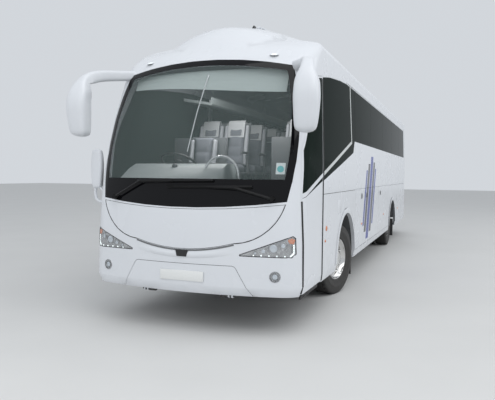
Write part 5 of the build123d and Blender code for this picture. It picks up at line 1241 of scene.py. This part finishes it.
driver_base = fuse("driver_base", [driver_shell, driver_box, driver_frame])
finish_piece(driver_base, "body", seat_plastic, "cab_plastic")
for spare in (pad, back, bolster, cover, shell):
    bpy.data.objects.remove(spare)

WHEEL_AT, WHEEL_LEAN = Vector((at(1.130), -0.64, 1.880)), math.radians(28)
wheel_turn = Matrix.Translation(WHEEL_AT) @ Matrix.Rotation(-WHEEL_LEAN, 4, "Y")
clear_selection()
bpy.ops.mesh.primitive_torus_add(major_radius=RIM_R, minor_radius=RIM_THICK, major_segments=56,
                                 minor_segments=14)
spokes = [bpy.context.object]
for start, end in (((-0.016, -SPOKE_END), (0.016, SPOKE_END)), ((-SPOKE_END, -0.016), (0.0, 0.016))):
    spokes.append(box_piece("spoke", (*start, SPOKE_Z[0]), (*end, SPOKE_Z[1]), 0.005))
boss = lathe("boss", BOSS, 28)
spokes.append(copied(boss, "boss_turned", Matrix.Rotation(math.pi / 2, 4, "X")))
bpy.data.objects.remove(boss)
wheel = copied(fuse("wheel_draft", spokes), "steering_wheel_finished", wheel_turn)
bpy.data.objects.remove(bpy.data.objects["wheel_draft"])
finish_piece(wheel, "steering_wheel", black_plastic, "cab_plastic", 40)
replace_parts(wheel, "steering_wheel")
welded("dashboard", "body", cab_grey, "cab_plastic", 40)
fitted = [ring_at("dial", Vector((at(0.965), y, 1.80)), Vector((-0.5, 0, 0.85)), 0.055, 0.006) for y in DIALS]
fitted.append(dome_at("knob", Vector((at(0.62), -0.42, 1.825)), Vector((0, 0, 1)), 0.035, 0.03, 16, 10))
fitted += [box_piece("vent", (at(0.80), y - 0.10, 1.848), (at(0.72), y + 0.10, 1.862), 0.005) for y in VENTS]
finish_piece(fuse("dashboard_fittings", fitted), "body", seat_plastic, "cab_plastic")

PERMIT_Y, PERMIT_Z = 1.03, 1.79
BLIND_HALF, BLIND_TOP, BLIND_FOOT, BLIND_SAG, BLIND_DEEP = 0.98, 2.93, 2.70, 0.05, 0.10
RAIL_X, RAIL_FOOT, RAIL_TURN = at(0.62), ((0.42, 1.10), (0.42, 1.50)), (0.20, 1.70)
blind_pale = surface("blind_pale", (0.42, 0.48, 0.47), (0.48, 0.54, 0.53), 90, (0.7, 0.85), 0.0004)
steel_bright = surface("steel_bright", (0.75, 0.76, 0.77), (0.85, 0.86, 0.87), 30, (0.15, 0.25), Metallic=0.8)


def behind_screen(y, z, deep):
    """Point inside the cab, behind the windscreen."""
    place, _ = seen_from((7, y, z), (-1, 0, 0), "windscreen")
    return place - Vector((deep, 0, 0))


def blind_place(u, v):
    """Drawn blind, lower at one end, with small folds."""
    low = BLIND_FOOT + BLIND_SAG * math.cos(math.pi * u)
    fold = 0.004 * math.sin(40 * v)
    return behind_screen((2 * u - 1) * BLIND_HALF, low + (BLIND_TOP - low) * v, BLIND_DEEP + fold)


finish_piece(shaped_grid("sun_blind", 24, 10, blind_place, 0.003), "body", blind_pale, "lining", 60)
bar_line = [behind_screen(0.06 - 0.11 * t, 2.88 - 0.90 * t, 0.09) for t in (0, 0.5, 1)]
finish_piece(bead("blind_bar", bar_line, 0.007, 8), "body", steel_bright, "rim_metal")
_, normal = seen_from((7, PERMIT_Y, PERMIT_Z), (-1, 0, 0), "windscreen")
inside = behind_screen(PERMIT_Y, PERMIT_Z, 0.020)
permit_teal = surface("permit_teal", (0.10, 0.45, 0.47), (0.14, 0.5, 0.52), 50, (0.4, 0.5))
permit_white = surface("permit_white", (0.7, 0.75, 0.76), (0.76, 0.8, 0.8), 50, (0.4, 0.5))
finish_piece(dome_at("permit_disc", inside, normal, 0.036, 0.0015, 28, 6), "body", permit_teal, "lining")
card = shaped_grid("permit_card", 3, 3, lambda u, v: behind_screen(
    PERMIT_Y - 0.047 + 0.094 * u, PERMIT_Z - 0.055 + 0.12 * v, 0.023), 0.001)
finish_piece(card, "body", permit_white, "lining")
rail_points = [(RAIL_X, y, z) for y, z in RAIL_FOOT]
rail_points += [(at(0.60), RAIL_TURN[0] + 0.22 * math.cos(turn), RAIL_TURN[1] + 0.24 * math.sin(turn))
                for turn in (math.radians(15 * i) for i in range(12))]
finish_piece(bead("steps_handrail", rail_points, 0.016, 10), "body", steel_bright, "rim_metal")
CAB_WALLS = (("driver_screen", -1.15, -0.32), ("steps_screen", 0.36, 1.15))      # right and left edges
WALL_REAR, WALL_FRONT, WALL_FOOT, WALL_TOP = at(1.98), at(1.955), 1.46, 2.25
for name, low, high in CAB_WALLS:
    wall = box_piece(name, (WALL_REAR, low, WALL_FOOT), (WALL_FRONT, high, WALL_TOP), 0.008, 2)
    finish_piece(wall, "body", seat_plastic, "cab_plastic")

# Floor
# A plain pale ground under the coach, which isn't part of it.
bpy.ops.object.select_all(action="DESELECT")
bpy.ops.mesh.primitive_plane_add(size=120, location=(0, 0, 0))
ground = bpy.context.object
ground.name = "ground"
ground.data.materials.append(surface("pale_ground", (0.6, 0.6, 0.59), (0.66, 0.66, 0.65), 0.8, (0.8, 0.9)))
